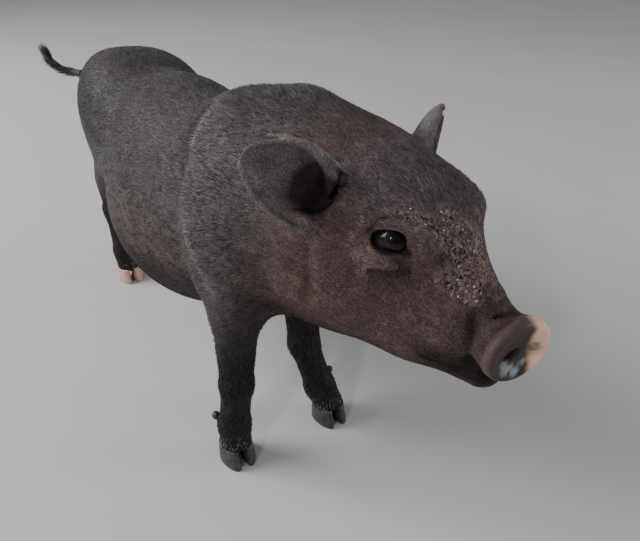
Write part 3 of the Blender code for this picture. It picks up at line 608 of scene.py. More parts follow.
def sampled(field, low, high, step):
    """The field's values on a grid, worked out only near its surface."""
    low = np.array(low, float)
    blocks = np.ceil((np.array(high) - low) / (step * BLOCK)).astype(int)
    side = BLOCK * step
    middles = np.stack(np.meshgrid(*[np.arange(n) for n in blocks], indexing="ij"), -1)
    middles = (low + (middles + 0.5) * side).astype(np.float32)
    rough = field(middles)
    values = np.empty((blocks[0], BLOCK, blocks[1], BLOCK, blocks[2], BLOCK), np.float32)
    values[:] = np.where(rough < 0, -side, side)[:, None, :, None, :, None]
    near = np.argwhere(np.abs(rough) < side * 1.15 + 0.002)
    ticks = np.arange(BLOCK) * step
    inner = np.stack(np.meshgrid(ticks, ticks, ticks, indexing="ij"), -1)
    for start in range(0, len(near), BLOCKS_AT_ONCE):
        b = near[start : start + BLOCKS_AT_ONCE]
        points = (low + b * side)[:, None, None, None, :] + inner
        values[b[:, 0], :, b[:, 1], :, b[:, 2], :] = field(points.astype(np.float32))
    return values.reshape(blocks * BLOCK), low


def surface_net(field, low, high, step):
    """Points and four-sided faces where the field is zero."""
    values, low = sampled(field, low, high, step)
    inside = values < 0
    n = np.array(values.shape) - 1
    total = sum(inside[x : x + n[0], y : y + n[1], z : z + n[2]].astype(np.int8) for x, y, z in CORNERS)
    cells = np.argwhere((total > 0) & (total < 8))
    number = np.full(tuple(n), -1, np.int64)
    number[tuple(cells.T)] = np.arange(len(cells))
    at = [values[tuple((cells + c).T)] for c in CORNERS]
    spot, count = np.zeros((len(cells), 3)), np.zeros(len(cells))
    for a, b in CELL_EDGES:
        crossed = (at[a] < 0) != (at[b] < 0)
        share = np.where(crossed, at[a] / np.where(crossed, at[a] - at[b], 1), 0)
        spot += crossed[:, None] * (CORNERS[a] + share[:, None] * (CORNERS[b] - CORNERS[a]))
        count += crossed
    points = low + step * (cells + spot / count[:, None])
    faces = []
    for axis in range(3):
        one, two = (axis + 1) % 3, (axis + 2) % 3
        lower = inside[tuple(slice(n[k] if k == axis else None) for k in range(3))]
        upper = inside[tuple(slice(int(k == axis), None) for k in range(3))]
        edges = np.argwhere(lower != upper)
        for k in (one, two):
            edges = edges[(edges[:, k] > 0) & (edges[:, k] < n[k])]
        e1, e2 = np.eye(3, dtype=int)[[one, two]]
        quads = np.stack([number[tuple((edges - s).T)] for s in (e1 + e2, e2, 0 * e1, e1)], 1)
        turned = ~inside[tuple(edges.T)]
        quads[turned] = quads[turned][:, ::-1]
        faces.append(quads)
    return points, np.concatenate(faces)


def settle_on(field, points, step):
    """Points moved onto the field's surface."""
    points = points.astype(np.float32)
    steps = np.eye(3, dtype=np.float32) * SLOPE_REACH
    rise = np.stack([field(points + s) - field(points - s) for s in steps], -1) / (2 * SLOPE_REACH)
    move = field(points)[:, None] * rise / np.maximum((rise * rise).sum(1, keepdims=True), 0.3)
    points -= np.clip(move, -0.4 * step, 0.4 * step)
    return points


def relaxed(field, points, faces, step, rounds):
    """Points evened out along the surface."""
    ends = np.concatenate([faces[:, [0, 1]], faces[:, [1, 2]], faces[:, [2, 3]], faces[:, [3, 0]]])
    count = np.maximum(np.bincount(ends.ravel(), minlength=len(points)), 1)
    for _ in range(rounds):
        total = np.stack(
            [
                np.bincount(ends[:, 0], points[ends[:, 1], k], len(points))
                + np.bincount(ends[:, 1], points[ends[:, 0], k], len(points))
                for k in range(3)
            ],
            1,
        )
        points = points + 0.5 * (total / count[:, None] - points)
        points = settle_on(field, points, step)
    return points


# Objects

# The field's frame less the model's, from the place of the right eye in each
SHIFT = from_head(eye_at(-1)) - np.array(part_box("eye_right")).mean(0)
SHIFT[2] = 0.0


def new_mesh_object(name, points, faces):
    """An object from points in the field's frame and faces of equal length."""
    points = np.asarray(points, np.float64) - SHIFT
    faces = np.asarray(faces, np.int64)
    mesh = bpy.data.meshes.new(name)
    sides = faces.shape[1]
    mesh.vertices.add(len(points))
    mesh.vertices.foreach_set("co", points.astype(np.float32).ravel())
    mesh.loops.add(faces.size)
    mesh.loops.foreach_set("vertex_index", faces.astype(np.int32).ravel())
    mesh.polygons.add(len(faces))
    mesh.polygons.foreach_set("loop_start", np.arange(0, faces.size, sides, dtype=np.int32))
    mesh.polygons.foreach_set("use_smooth", np.ones(len(faces), bool))
    mesh.update(calc_edges=True)
    obj = bpy.data.objects.new(name, mesh)
    bpy.context.scene.collection.objects.link(obj)
    return obj


def vectors_of(obj, key):
    """One vector for each point of the mesh."""
    values = np.empty(len(obj.data.vertices) * 3, np.float32)
    obj.data.vertices.foreach_get(key, values)
    return values.reshape(-1, 3)


def points_of(obj):
    """The mesh's points, in the field's frame."""
    return vectors_of(obj, "co") + SHIFT.astype(np.float32)


def keep_values(obj, name, kind, key, values):
    """Values for the points of the mesh, under a name that its material reads."""
    layer = obj.data.attributes.new(name, kind, "POINT")
    layer.data.foreach_set(key, np.asarray(values, np.float32).ravel())


def paint(obj, colours):
    full = np.hstack([colours, np.ones((len(colours), 1))])
    keep_values(obj, "tone", "FLOAT_COLOR", "color", full)


@contextmanager
def opened(obj):
    """The object's mesh opened for changes, which it keeps."""
    bm = bmesh.new()
    bm.from_mesh(obj.data)
    yield bm
    bm.to_mesh(obj.data)
    bm.free()


def cut_at(obj, point, out, keep_ahead):
    """Cuts a mesh by a plane and keeps the side ahead of it, or the one behind."""
    with opened(obj) as bm:
        bmesh.ops.bisect_plane(
            bm,
            geom=bm.verts[:] + bm.edges[:] + bm.faces[:],
            dist=1e-6,
            plane_co=Vector(point),
            plane_no=Vector(out),
            clear_inner=keep_ahead,
            clear_outer=not keep_ahead,
        )


def make_skin():
    """The whole hide as one mesh: a fine head and a coarser body, bridged round the neck."""
    out = unit(NECK_OUT)
    halves = []
    for name, field, (low, high), step, rounds, ahead in (
        ("skin", trunk_skin, BODY_BOX, BODY_STEP, 3, False),
        ("skin_of_head", head_skin, HEAD_BOX, HEAD_STEP, 2, True),
    ):
        points, faces = surface_net(field, low, high, step)
        half = new_mesh_object(name, relaxed(field, points, faces, step, rounds), faces)
        cut_at(half, np.array(NECK_AT) - SHIFT + out * (0.0005 if ahead else -0.0005), out, ahead)
        halves.append(half)
    skin, head = halves

    with opened(skin) as bm:
        bm.from_mesh(head.data)
        bpy.data.objects.remove(head)
        drop_scraps(bm)
        rims = [e for e in bm.edges if e.is_boundary]
        print("SKIN rims", len(rims), "faces", len(bm.faces))
        bmesh.ops.bridge_loops(bm, edges=rims)
        bmesh.ops.triangulate(bm, faces=[f for f in bm.faces if len(f.verts) != 4])
        for face in bm.faces:
            face.smooth = True
        print("SKIN faces", len(bm.faces), "open", sum(e.is_boundary for e in bm.edges))
    return skin


def drop_scraps(bm):
    """Removes small loose pieces of the mesh."""
    seen = set()
    for start in bm.faces[:]:
        if not start.is_valid or start in seen:
            continue
        group, stack = [], [start]
        seen.add(start)
        while stack:
            face = stack.pop()
            group.append(face)
            for edge in face.edges:
                for other in edge.link_faces:
                    if other not in seen:
                        seen.add(other)
                        stack.append(other)
        if len(group) < SMALLEST_PIECE:
            bmesh.ops.delete(bm, geom=group, context="FACES")


# Colours, the same for the skin and the coat

BACK = (0.053, 0.0475, 0.048)
FACE = (0.064, 0.043, 0.040)
CROWN = (0.070, 0.057, 0.060)
LEG = (0.017, 0.0145, 0.015)
BROWN = (0.062, 0.040, 0.037)
# UNDERSIDE_SHADE: painted shade for the undersides and for the crease under each eye's bag
UNDERSIDE_SHADE = (0.010, 0.007, 0.007)
EAR_SKIN = (0.125, 0.112, 0.113)
EAR_RIM = (0.175, 0.130, 0.122)
EAR_FLANGE = (0.125, 0.122, 0.124)
# EAR_SHADE: painted shade in the ear's cup and hollow
EAR_SHADE = (0.022, 0.016, 0.020)
LID = (0.095, 0.068, 0.066)
PALE = (0.230, 0.170, 0.150)
DARK = (0.010, 0.009, 0.011)
ROSE = (0.720, 0.470, 0.380)
MAUVE = (0.042, 0.029, 0.030)
# WET_SHINE: a bluish white that paints the reflection on wet skin
WET_SHINE = (0.270, 0.290, 0.335)
SCAB = (0.280, 0.212, 0.206)
CRUST = (0.120, 0.088, 0.084)
FLAKE = (0.300, 0.255, 0.245)
TAN = (0.140, 0.085, 0.045)
CRUST_TAN_AT = (0.0375, -0.0032, -0.0020)
CORONET = (0.26, 0.25, 0.24)
CORONET_TIP = (0.42, 0.40, 0.38)
SCAB_DARK = (0.075, 0.055, 0.050)
SCAB_GAP = (0.016, 0.011, 0.011)

# Places in the head's frame: pale hairs behind and under each eye, and the scabs with reach and strength
PALE_HAIRS = [(-0.0085, 0.0378, 0.0047), (-0.0049, 0.0369, 0.0004), (-0.0018, 0.0369, -0.0034)]
PALE_HAIRS += [(0.0012, 0.0361, -0.0064), (-0.0052, 0.0388, -0.0017), (-0.0003, 0.0380, -0.0088)]
SCABS = [
    (0.027, -0.007, 0.009, 0.0100, 1.0),
    (0.034, -0.002, 0.001, 0.0110, 1.1),
    (0.038, -0.008, -0.004, 0.0080, 1.0),
    (0.020, -0.010, 0.014, 0.0070, 0.7),
    (0.006, -0.024, 0.021, 0.0050, 0.8),
    (0.014, -0.021, 0.019, 0.0055, 0.8),
    (0.019, -0.015, 0.015, 0.0055, 0.8),
    (0.017, -0.007, 0.019, 0.0050, 0.7),
    (0.034, -0.016, -0.008, 0.0045, 0.6),
    (0.040, -0.012, -0.009, 0.0050, 0.6),
    (0.028, -0.019, -0.005, 0.0045, 0.5),
]

# Spots of painted reflection on the wet skin under the right nostril, in the disc's frame: to the left, up,
# and reach
SHINE_SPOTS = [(-0.0100, -0.0035, 0.0036), (-0.0070, -0.0072, 0.0042)]
SHINE_SPOTS += [(-0.0020, -0.0095, 0.0038), (0.0012, -0.0055, 0.0030)]


def mixed(colour, other, share, strength=1.0):
    """The colour moved towards another by a share, which is held between 0 and 1, times a strength."""
    share = (np.clip(share, 0, 1) * strength)[:, None]
    return colour * (1 - share) + np.array(other) * share


def shoulder_light(p):
    """Where the coat catches light on the shoulder's line, above 0, and the dusk behind it, below 0."""
    ahead = past_shoulder(p)
    edge = ramp(ahead, -0.003, 0.001) * (1 - ramp(ahead, 0.003, 0.020))
    dusk = ramp(ahead, -0.018, -0.006) * (1 - ramp(ahead, -0.004, 0.000))
    return beside_spine(p) * ramp(p[:, 2], 0.135, 0.160) * (edge - 0.50 * dusk)


def tone_at(p):
    """The colour of the hide at each point, with painted shade and painted light worked into it."""
    q = to_head(p)
    colour = np.tile(np.array(BACK), (len(p), 1))
    face = ramp(q[:, 0], -0.075, -0.030) * ramp(p[:, 2], 0.09, 0.12)
    colour = mixed(colour, FACE, face)
    crown = ramp(q[:, 2] - 0.30 * np.abs(q[:, 1]), -0.006, 0.018) * ramp(q[:, 0], -0.050, -0.020)
    colour = mixed(colour, CROWN, crown * ramp(-q[:, 0], -0.050, -0.020), 0.9)
    # Darker legs: partly their own dark coat, partly painted shade low down
    leg = 1 - ramp(p[:, 2], 0.080, 0.135)
    colour = mixed(colour, LEG, leg * (1 - face) * ramp(np.abs(p[:, 0] + 0.01), 0.075, 0.10))
    for s in (-1, 1):
        flank = blob(p, (0.050, s * 0.055, 0.132), (0.060, 0.030, 0.030))
        colour = mixed(colour, BROWN, flank * (0.5 + cloudy(p, 150, 21)), 0.8)
    # Painted shade under the belly, the throat and the chin
    belly = (1 - ramp(p[:, 2], 0.108, 0.140)) * (1 - ramp(np.abs(p[:, 0] + 0.005), 0.09, 0.12))
    throat = (1 - ramp(q[:, 2] + 0.10 * q[:, 0], -0.060, -0.044)) * face
    chin = (1 - ramp(q[:, 2], -0.042, -0.031)) * ramp(q[:, 0], 0.022, 0.040) * face
    for share, strength in ((belly, 0.9), (throat, 0.85), (chin, 0.8)):
        colour = mixed(colour, UNDERSIDE_SHADE, share, strength)
    # Painted shade over the right ham
    colour = mixed(colour, DARK, blob(p, (-0.105, -0.052, 0.180), (0.050, 0.030, 0.045)), 0.40)
    colour = mixed(colour, DARK, blob(p, (0.020, -0.055, 0.160), (0.080, 0.030, 0.030)), 0.20)
    colour = colour * (0.82 + 0.36 * cloudy(p, 60, 1))[:, None]
    fleck = ramp(noise(p, 520, 31), 0.52, 0.80) * (0.35 + 0.65 * face)
    colour = colour * (1 + 0.30 * fleck)[:, None]
    colour = colour * (1 + shoulder_light(p))[:, None]
    for s in (-1, 1):
        colour = cheek_tone(p, q, s, colour)
    # Painted shade in the snout's top wrinkle and in the fold behind the nose disc's rim
    wrinkle = groove(q, TOP_WRINKLE, 0.0014, 1.0) + groove(disc_frame(q), RIM_FOLD, 0.0015, 0.7)
    colour = mixed(colour, DARK, wrinkle, 0.8)
    # Painted highlight: a thin light grey line just above the snout's top wrinkle
    shine = groove(q, [(x - 0.0016, y, z + 0.0010) for x, y, z in TOP_WRINKLE], 0.0007, 1.0)
    colour = mixed(colour, EAR_FLANGE, shine, 0.6)
    muzzle = ramp(q[:, 0], 0.030, 0.050) * (1 - ramp(q[:, 0], 0.0590, 0.0640))
    colour = colour * (1 - 0.35 * muzzle)[:, None]
    for name in EARS:
        colour = ear_tone(q, name, colour)
    return disc_tone(q, colour)


def cheek_tone(p, q, s, colour):
    """Colours round one eye: pale hairs, the lid, the bag under it, and painted shade under the bag, in the
    folds and in the crease down the snout's side.
    """
    for spot in mirrored(PALE_HAIRS, s):
        under = blob(q, spot, (0.0032,) * 3)
        colour = mixed(colour, PALE, under * (0.1 + 1.2 * noise(p, 900, 8)), 0.60)
    local = eye_local(q, s)
    opening = eye_opening(local)
    lid = ramp(opening, 1.08, 1.25) * (1 - ramp(opening, 1.7, 2.2))
    lid = lid * (local[:, 2] > 0.002) * ramp(local[:, 1], 0.000, 0.005)
    colour = mixed(colour, LID, lid, 0.55)
    bag = blob(q, (0.0045, s * 0.0335, -0.0045), (0.0085, 0.0060, 0.0026))
    colour = mixed(colour, LID, bag, 0.28)
    # Painted shade in the crease under the eye's bag
    below = [(x, y, z - 0.0016) for x, y, z in mirrored(UNDER_EYE, s)]
    colour = mixed(colour, UNDERSIDE_SHADE, groove(q, below, 0.0034, 1.0), 0.38)
    # Painted shade in the folds round the eye
    for line, width, _ in EYE_FOLDS:
        colour = mixed(colour, DARK, groove(q, mirrored(line, s), width * 1.1, 1.0), 0.36)
    # Painted shade in the crease down the snout's side
    return mixed(colour, DARK, groove(q, mirrored(SNOUT_CREASE, s), 0.0032, 1.0), 0.45)


def ear_tone(q, name, colour):
    """Colours of one ear: a grey outer cup, partly painted light; a pale brown rim, grey flange and brown
    lobe, partly painted light where they face it; and painted shade towards its root and in its fold.
    """
    e = ear_local(q, name)
    box = ramp(e[:, 0], -0.006, 0.002) * (np.abs(e[:, 1]) < 0.026) * (np.abs(e[:, 2] + 0.004) < 0.022)
    on = box * (1 - ramp(EAR_SHEETS[name].distance(q), 0.0012, 0.0040))
    # Lighter grey over the ear: partly its own skin, partly painted light on the cup
    colour = mixed(colour, EAR_SKIN, on, 0.85)
    # The rolled margin: a pale brown rim and a grey flange, partly their own colour and partly painted light
    rim = np.exp(-((np.maximum(chain(e, EAR_MARGIN, EAR_MARGIN_RADII), 0) / 0.0012) ** 2))
    rim = rim * (0.55 + 0.9 * noise(e * np.array((1, 0.3, 0.3)), 1400, 41))
    grey = (1 - ramp(e[:, 0], 0.015, 0.022))[:, None]
    edge = np.clip(rim, 0, 1)
    margin = np.array(EAR_RIM) * (1 - grey) + np.array(EAR_FLANGE) * grey
    colour = mixed(colour, margin, edge * box, 0.75)
    # Painted shade towards the cup's root
    dusk = (1 - ramp(e[:, 0], 0.008, 0.024)) * (1 - ramp(np.abs(e[:, 1] + 0.002), 0.007, 0.0145))
    colour = mixed(colour, EAR_SHADE, dusk * (1 - edge) * box, 0.85)
    # The lobe's brown: partly its own colour, partly painted light
    lobe = blob(e, EAR_LOBE_AT, (0.0060, 0.0042, 0.0045))
    colour = mixed(colour, EAR_RIM, lobe * 1.2, 0.8)
    # Painted shade in the ear's fold
    return mixed(colour, DARK, groove(e, EAR_FOLD, 0.0013, 1.0) * (1 - 0.5 * rim), 0.85)


def disc_frame(q):
    """Places in the nose disc's own frame: out of it, to the left, and up."""
    return (q - np.array(NOSE_AT)) @ turn_of(*NOSE_TURN)


def disc_tone(q, colour):
    """Colours of the nose: grey-mauve, rose on its left part, and a painted reflection on the wet skin under
    the right nostril.
    """
    d = disc_frame(q)
    on = ramp(d[:, 0], -0.0028, -0.0008) * (np.hypot(d[:, 1] / 0.0225, d[:, 2] / 0.0190) < 1)
    mauve = colour * 0 + np.array(MAUVE) * (0.75 + 0.5 * cloudy(q, 300, 5))[:, None]
    edge = np.hypot(d[:, 1] / NOSE_SIZE[1], d[:, 2] / NOSE_SIZE[2])
    upper = ramp(d[:, 2] - 0.7 * d[:, 1], -0.002, 0.006)
    mauve = mauve * (0.85 + 0.75 * ramp(edge, 0.66, 0.90) * upper)[:, None]
    colour = mixed(colour, (0, 0, 0), on) + mauve * on[:, None]
    rose = d[:, 1] - 0.0052 + 0.20 * np.minimum(d[:, 2], 0) + 0.003 * (cloudy(q, 260, 6) - 0.5)
    rose = ramp(rose, -0.0040, 0.0022) ** 1.4
    colour = mixed(colour, ROSE, rose * on * (0.82 + 0.18 * noise(q, 400, 4)))
    # Painted reflection: bluish white spots on the wet skin under the right nostril
    wet = np.zeros(len(q))
    for y, z, reach in SHINE_SPOTS:
        wet = np.maximum(wet, blob(d, (0.004, y, z), (0.008, reach, reach)))
    wet = wet * (0.30 + 1.2 * noise(q * np.array((1, 1, 0.5)), 1000, 12))
    colour = mixed(colour, WET_SHINE, ramp(wet, 0.22, 1.00) * on, 0.85)
    chin = blob(q, (0.054, 0.0, -0.058), (0.008, 0.014, 0.004))
    return mixed(colour, PALE, chin * 0.35 * noise(q, 800, 14))


def scab_at(p):
    """How scabby the hide is at each point."""
    q = to_head(p)
    total = np.zeros(len(p))
    for x, y, z, reach, share in SCABS:
        total = total + share * blob(q, (x, y, z), (reach,) * 3)
    return np.clip(total * (0.4 + 1.1 * cloudy(p, 260, 9)), 0, 1)


def lie_at(p, n):
    """The way the coat lies at each point, along the skin."""
    q = to_head(p)
    body = np.array((-1.0, 0.0, -0.35))
    head = HEAD_FRAME @ np.array((-1.0, 0.0, 0.10))
    down = np.array((-0.15, 0.0, -1.0))
    face = ramp(q[:, 0], -0.070, -0.030)[:, None] * ramp(p[:, 2], 0.09, 0.12)[:, None]
    leg = (1 - ramp(p[:, 2], 0.085, 0.130))[:, None]
    way = body * (1 - face) * (1 - leg) + head * face + down * leg * (1 - face)
    for base, axis, _, _ in EARS.values():
        axis = HEAD_FRAME @ unit(axis)
        root = from_head(base)
        middle = root + axis * EAR_LENGTH * 0.55
        near = np.exp(-((np.linalg.norm(p - middle, axis=1) / 0.021) ** 4))[:, None]
        way = way * (1 - near) + axis * near
    along = np.array(TAIL[4]) - np.array(TAIL[1])
    tail = (1 - ramp(p[:, 0], -0.176, -0.160))[:, None]
    way = way * (1 - tail) + unit(along) * tail
    way = way - n * (way * n).sum(1, keepdims=True)
    return unit(way + 1e-9)


# Materials


class Nodes:
    """A material's nodes, linked as they are made."""

    def __init__(self, name):
        self.material = bpy.data.materials.new(name)
        self.material.use_nodes = True
        self.tree = self.material.node_tree
        self.shader = self.tree.nodes["Principled BSDF"]

    def put(self, socket, value):
        if isinstance(value, bpy.types.NodeSocket):
            self.tree.links.new(value, socket)
        else:
            socket.default_value = value

    def set(self, **values):
        for name, value in values.items():
            self.put(self.shader.inputs[name.replace("_", " ")], value)

    def node(self, kind, settings=(), **inputs):
        node = self.tree.nodes.new(kind)
        for key, value in dict(settings).items():
            setattr(node, key, value)
        for key, value in inputs.items():
            self.put(node.inputs[key.replace("_", " ")], value)
        return node

    def attribute(self, name):
        return self.node("ShaderNodeAttribute", {"attribute_name": name})

    def place(self):
        return self.node("ShaderNodeTexCoord").outputs["Object"]

    def noise(self, vector, scale, detail=3.0, rough=0.5, distort=0.0):
        values = {"Vector": vector, "Scale": scale, "Detail": detail, "Roughness": rough}
        return self.node("ShaderNodeTexNoise", **values, Distortion=distort).outputs["Fac"]

    def stretched(self, vector, scale):
        return self.node("ShaderNodeMapping", Vector=vector, Scale=scale).outputs["Vector"]

    def ramped(self, value, low, high, start=0.0, end=1.0):
        node = self.node("ShaderNodeMapRange", {"interpolation_type": "SMOOTHSTEP"}, Value=value)
        for key, number in (("From Min", low), ("From Max", high), ("To Min", start), ("To Max", end)):
            node.inputs[key].default_value = number
        return node.outputs["Result"]

    def math(self, operation, a, b=0.0):
        node = self.node("ShaderNodeMath", {"operation": operation})
        self.put(node.inputs[0], a)
        self.put(node.inputs[1], b)
        return node.outputs[0]

    def mix(self, share, a, b, blend="MIX"):
        node = self.node("ShaderNodeMix", {"data_type": "RGBA", "blend_type": blend})
        self.put(node.inputs[0], share)
        self.put(node.inputs[6], a)
        self.put(node.inputs[7], b)
        return node.outputs[2]

    def grey(self, value):
        return self.node("ShaderNodeCombineColor", Red=value, Green=value, Blue=value).outputs[0]

    def bump(self, height, strength, distance):
        node = self.node("ShaderNodeBump", Height=height, Strength=strength, Distance=distance)
        return node.outputs["Normal"]


def hide_material():
    """Bare skin under the coat: pores, fine lines along the lie of the hair, and scabs."""
    m = Nodes("hide")
    place = m.place()
    tone = m.attribute("tone").outputs["Color"]
    grain = m.attribute("grain").outputs["Vector"]
    scab = m.attribute("scab").outputs["Fac"]
    wet = m.attribute("wet").outputs["Fac"]
    streaks = m.noise(grain, 1.0, 4.0, 0.6)
    pores = m.noise(place, 900.0, 3.0, 0.6)
    blotch = m.noise(place, 120.0, 3.0, 0.5)
    mottle = m.noise(place, 1300.0, 3.0, 0.6)
    shade = m.ramped(streaks, 0.3, 0.7, 0.62, 1.35)
    shade = m.math("MULTIPLY", shade, m.ramped(blotch, 0.3, 0.7, 0.80, 1.20))
    shade = m.math("MULTIPLY", shade, m.ramped(mottle, 0.38, 0.66, 0.70, 1.50))
    shade = m.mix(m.math("MULTIPLY", wet, 0.75), shade, (1.0, 1.0, 1.0, 1.0))
    colour = m.mix(1.0, tone, m.grey(shade), "MULTIPLY")
    flakes = m.node("ShaderNodeTexVoronoi", {"feature": "F1"}, Vector=place, Scale=620.0, Randomness=1.0)
    flake = m.ramped(m.noise(place, 260.0, 5.0, 0.70, 0.5), 0.42, 0.52)
    crust = m.math("MULTIPLY", scab, flake)
    gap = m.math("MULTIPLY", scab, m.math("SUBTRACT", 1.0, flake))
    colour = m.mix(m.math("MULTIPLY", gap, 0.65), colour, (*SCAB_GAP, 1.0))
    flaky = m.mix(flakes.outputs["Color"], (*SCAB, 1.0), (*SCAB_DARK, 1.0))
    colour = m.mix(m.math("MULTIPLY", crust, 0.85), colour, flaky)
    height = m.math("ADD", m.math("MULTIPLY", streaks, 0.6), m.math("MULTIPLY", pores, 0.4))
    height = m.math("ADD", height, m.math("MULTIPLY", crust, 1.2))
    rough = m.math("SUBTRACT", m.ramped(streaks, 0.2, 0.8, 0.62, 0.46), m.math("MULTIPLY", wet, 0.22))
    m.set(Base_Color=colour, Roughness=rough, Normal=m.bump(height, 0.55, 0.0006))
    m.set(Specular_IOR_Level=0.10, Subsurface_Weight=0.0)
    return m.material


def bristle_material():
    m = Nodes("bristle")
    worn = m.ramped(m.noise(m.place(), 700.0, 2.0, 0.5), 0.3, 0.7, 0.85, 1.15)
    m.set(Base_Color=m.mix(1.0, m.attribute("tone").outputs["Color"], m.grey(worn), "MULTIPLY"))
    m.set(Roughness=m.ramped(worn, 0.85, 1.15, 0.50, 0.38), Specular_IOR_Level=0.07)
    return m.material


def eye_material():
    """A dark pupil and iris, a bluish edge round them that is a painted reflection, and a wet shine."""
    m = Nodes("eye")
    ring = m.attribute("ring").outputs["Fac"]
    fibres = m.noise(m.place(), 1500.0, 3.0, 0.6)
    colour = m.mix(m.ramped(fibres, 0.35, 0.7), (0.006, 0.004, 0.004, 1), (0.018, 0.010, 0.008, 1))
    colour = m.mix(m.ramped(ring, 0.26, 0.34), (0.0015, 0.0015, 0.002, 1), colour)
    # The bluish ring at the iris's edge is a painted reflection
    for low, high, outer in (
        (0.48, 0.54, (0.022, 0.026, 0.032, 1)),
        (0.54, 0.62, (0.010, 0.0075, 0.010, 1)),
        (0.80, 1.20, (0.020, 0.012, 0.013, 1)),
    ):
        colour = m.mix(m.ramped(ring, low, high), colour, outer)
    m.set(Base_Color=colour, Roughness=0.30, Specular_IOR_Level=0.05)
    m.set(Coat_Weight=0.30, Coat_Roughness=0.02)
    return m.material


def horn_material(name, dark, light, rough):
    m = Nodes(name)
    place = m.place()
    rings = m.noise(m.stretched(place, (90.0, 90.0, 900.0)), 1.0, 3.0, 0.5)
    wear = m.noise(place, 420.0, 4.0, 0.6)
    m.set(Base_Color=m.mix(m.ramped(wear, 0.35, 0.75), (*dark, 1), (*light, 1)))
    m.set(Roughness=m.ramped(wear, 0.3, 0.7, rough, rough + 0.2))
    m.set(Normal=m.bump(rings, 0.35, 0.0004))
    return m.material


def floor_material():
    m = Nodes("pale_floor")
    cloud = m.noise(m.place(), 6.0, 3.0, 0.5)
    m.set(Base_Color=m.mix(cloud, (0.46, 0.455, 0.447, 1), (0.51, 0.505, 0.496, 1)), Roughness=0.75)
    return m.material


# Bristles


def patch_of(p, n):
    """The place of each point on a flat unwrap of the hide: trunk, head, legs, ears and tail in turn."""
    q = to_head(p)
    u = 0.02 + 0.56 * np.clip((p[:, 0] + 0.20) / 0.36, 0, 1)
    v = 0.02 + 0.50 * (np.arctan2(p[:, 1] - 0.01, p[:, 2] - 0.150) / (2 * pi) + 0.5)
    head = (p - np.array(NECK_AT)) @ unit(NECK_OUT) > 0
    u = np.where(head, 0.62 + 0.36 * np.clip((q[:, 0] + 0.09) / 0.17, 0, 1), u)
    v = np.where(head, 0.02 + 0.50 * (np.arctan2(q[:, 1], q[:, 2] + 0.022) / (2 * pi) + 0.5), v)
    for k, (fore, s) in enumerate(((True, -1), (True, 1), (False, -1), (False, 1))):
        x, y = (0.124, s * 0.034) if fore else (-0.140, s * 0.036)
        here = (np.hypot(p[:, 0] - x, p[:, 1] - y) < 0.045) & (p[:, 2] < 0.095) & ~head
        a = np.arctan2(p[:, 1] - y, p[:, 0] - x) / (2 * pi) + 0.5
        u = np.where(here, 0.02 + 0.24 * k + 0.21 * a, u)
        v = np.where(here, 0.56 + 0.18 * np.clip(p[:, 2] / 0.095, 0, 1), v)
    for k, name in enumerate(EARS):
        turned = ear_frame(name)
        local = (q - np.array(EARS[name][0])) @ turned
        here = (local[:, 0] > 0.002) & (np.abs(local[:, 1]) < 0.021) & (np.abs(local[:, 2] + 0.004) < 0.016)
        here = here & (EAR_SHEETS[name].distance(q) < 0.0025)
        front = (n @ (HEAD_FRAME @ turned[:, 2])) > 0
        across = np.clip(local[:, 1] / 0.042 + 0.5, 0, 1)
        u = np.where(here, 0.02 + 0.38 * k + 0.19 * front + 0.17 * across, u)
        v = np.where(here, 0.78 + 0.18 * np.clip(local[:, 0] / 0.045, 0, 1), v)
    tail = p[:, 0] < -0.172
    a = np.arctan2(n[:, 1], n[:, 2]) / (2 * pi) + 0.5
    u = np.where(tail, 0.80 + 0.17 * a, u)
    v = np.where(tail, 0.78 + 0.18 * np.clip((-0.170 - p[:, 0]) / 0.07, 0, 1), v)
    return np.stack([u, v], 1)


def unwrap(obj, root, normal, reach, turns, faces):
    """The bake map: the points of each bristle or plate lie round its root's place, at these reaches."""
    offsets = np.array([(r * cos(a), r * sin(a)) for r, a in zip(reach, turns)])
    spots = (patch_of(root, normal)[:, None, :] + offsets[None]).reshape(-1, 2)
    layer = obj.data.uv_layers.new(name="OFBake")
    layer.data.foreach_set("uv", spots[faces.ravel()].astype(np.float32).ravel())


def grow(name, root, normal, lie, length, width, rise, colour, tip_colour):
    """A piece of coat: one bent, tapered, three-sided spike for each root."""
    count = len(root)
    side = np.cross(normal, lie)
    length, width, rise = length[:, None], width[:, None], rise[:, None]
    heading = lie * np.cos(rise) + normal * np.sin(rise)
    settle = lie * np.cos(rise * 0.35) + normal * np.sin(rise * 0.35)
    base = root - normal * 0.0005
    middle = root + heading * length * 0.45
    tip = middle + settle * length * 0.55
    rings = []
    for centre, size in ((base, 1.0), (middle, 0.85)):
        rings += [centre + side * width * size, centre + normal * width * size, centre - side * width * size]
    points = np.stack(rings + [tip], 1).reshape(-1, 3)
    spike = [(0, 1, 4), (0, 4, 3), (1, 2, 5), (1, 5, 4), (2, 0, 3), (2, 3, 5)]
    spike += [(3, 4, 6), (4, 5, 6), (5, 3, 6)]
    faces = (np.arange(count)[:, None, None] * 7 + np.array(spike)[None]).reshape(-1, 3)
    obj = new_mesh_object(name, points, faces)
    shades = np.stack([colour] * 3 + [colour * 0.6 + tip_colour * 0.4] * 3 + [tip_colour], 1).reshape(-1, 3)
    paint(obj, shades)
    turns = [pi / 2 + 2 * pi * k / 3 for k in (0, 1, 2, 0, 1, 2, 0)]
    unwrap(obj, root, normal, [0.0015] * 3 + [0.0008] * 3 + [0.0], turns, faces)
    return obj


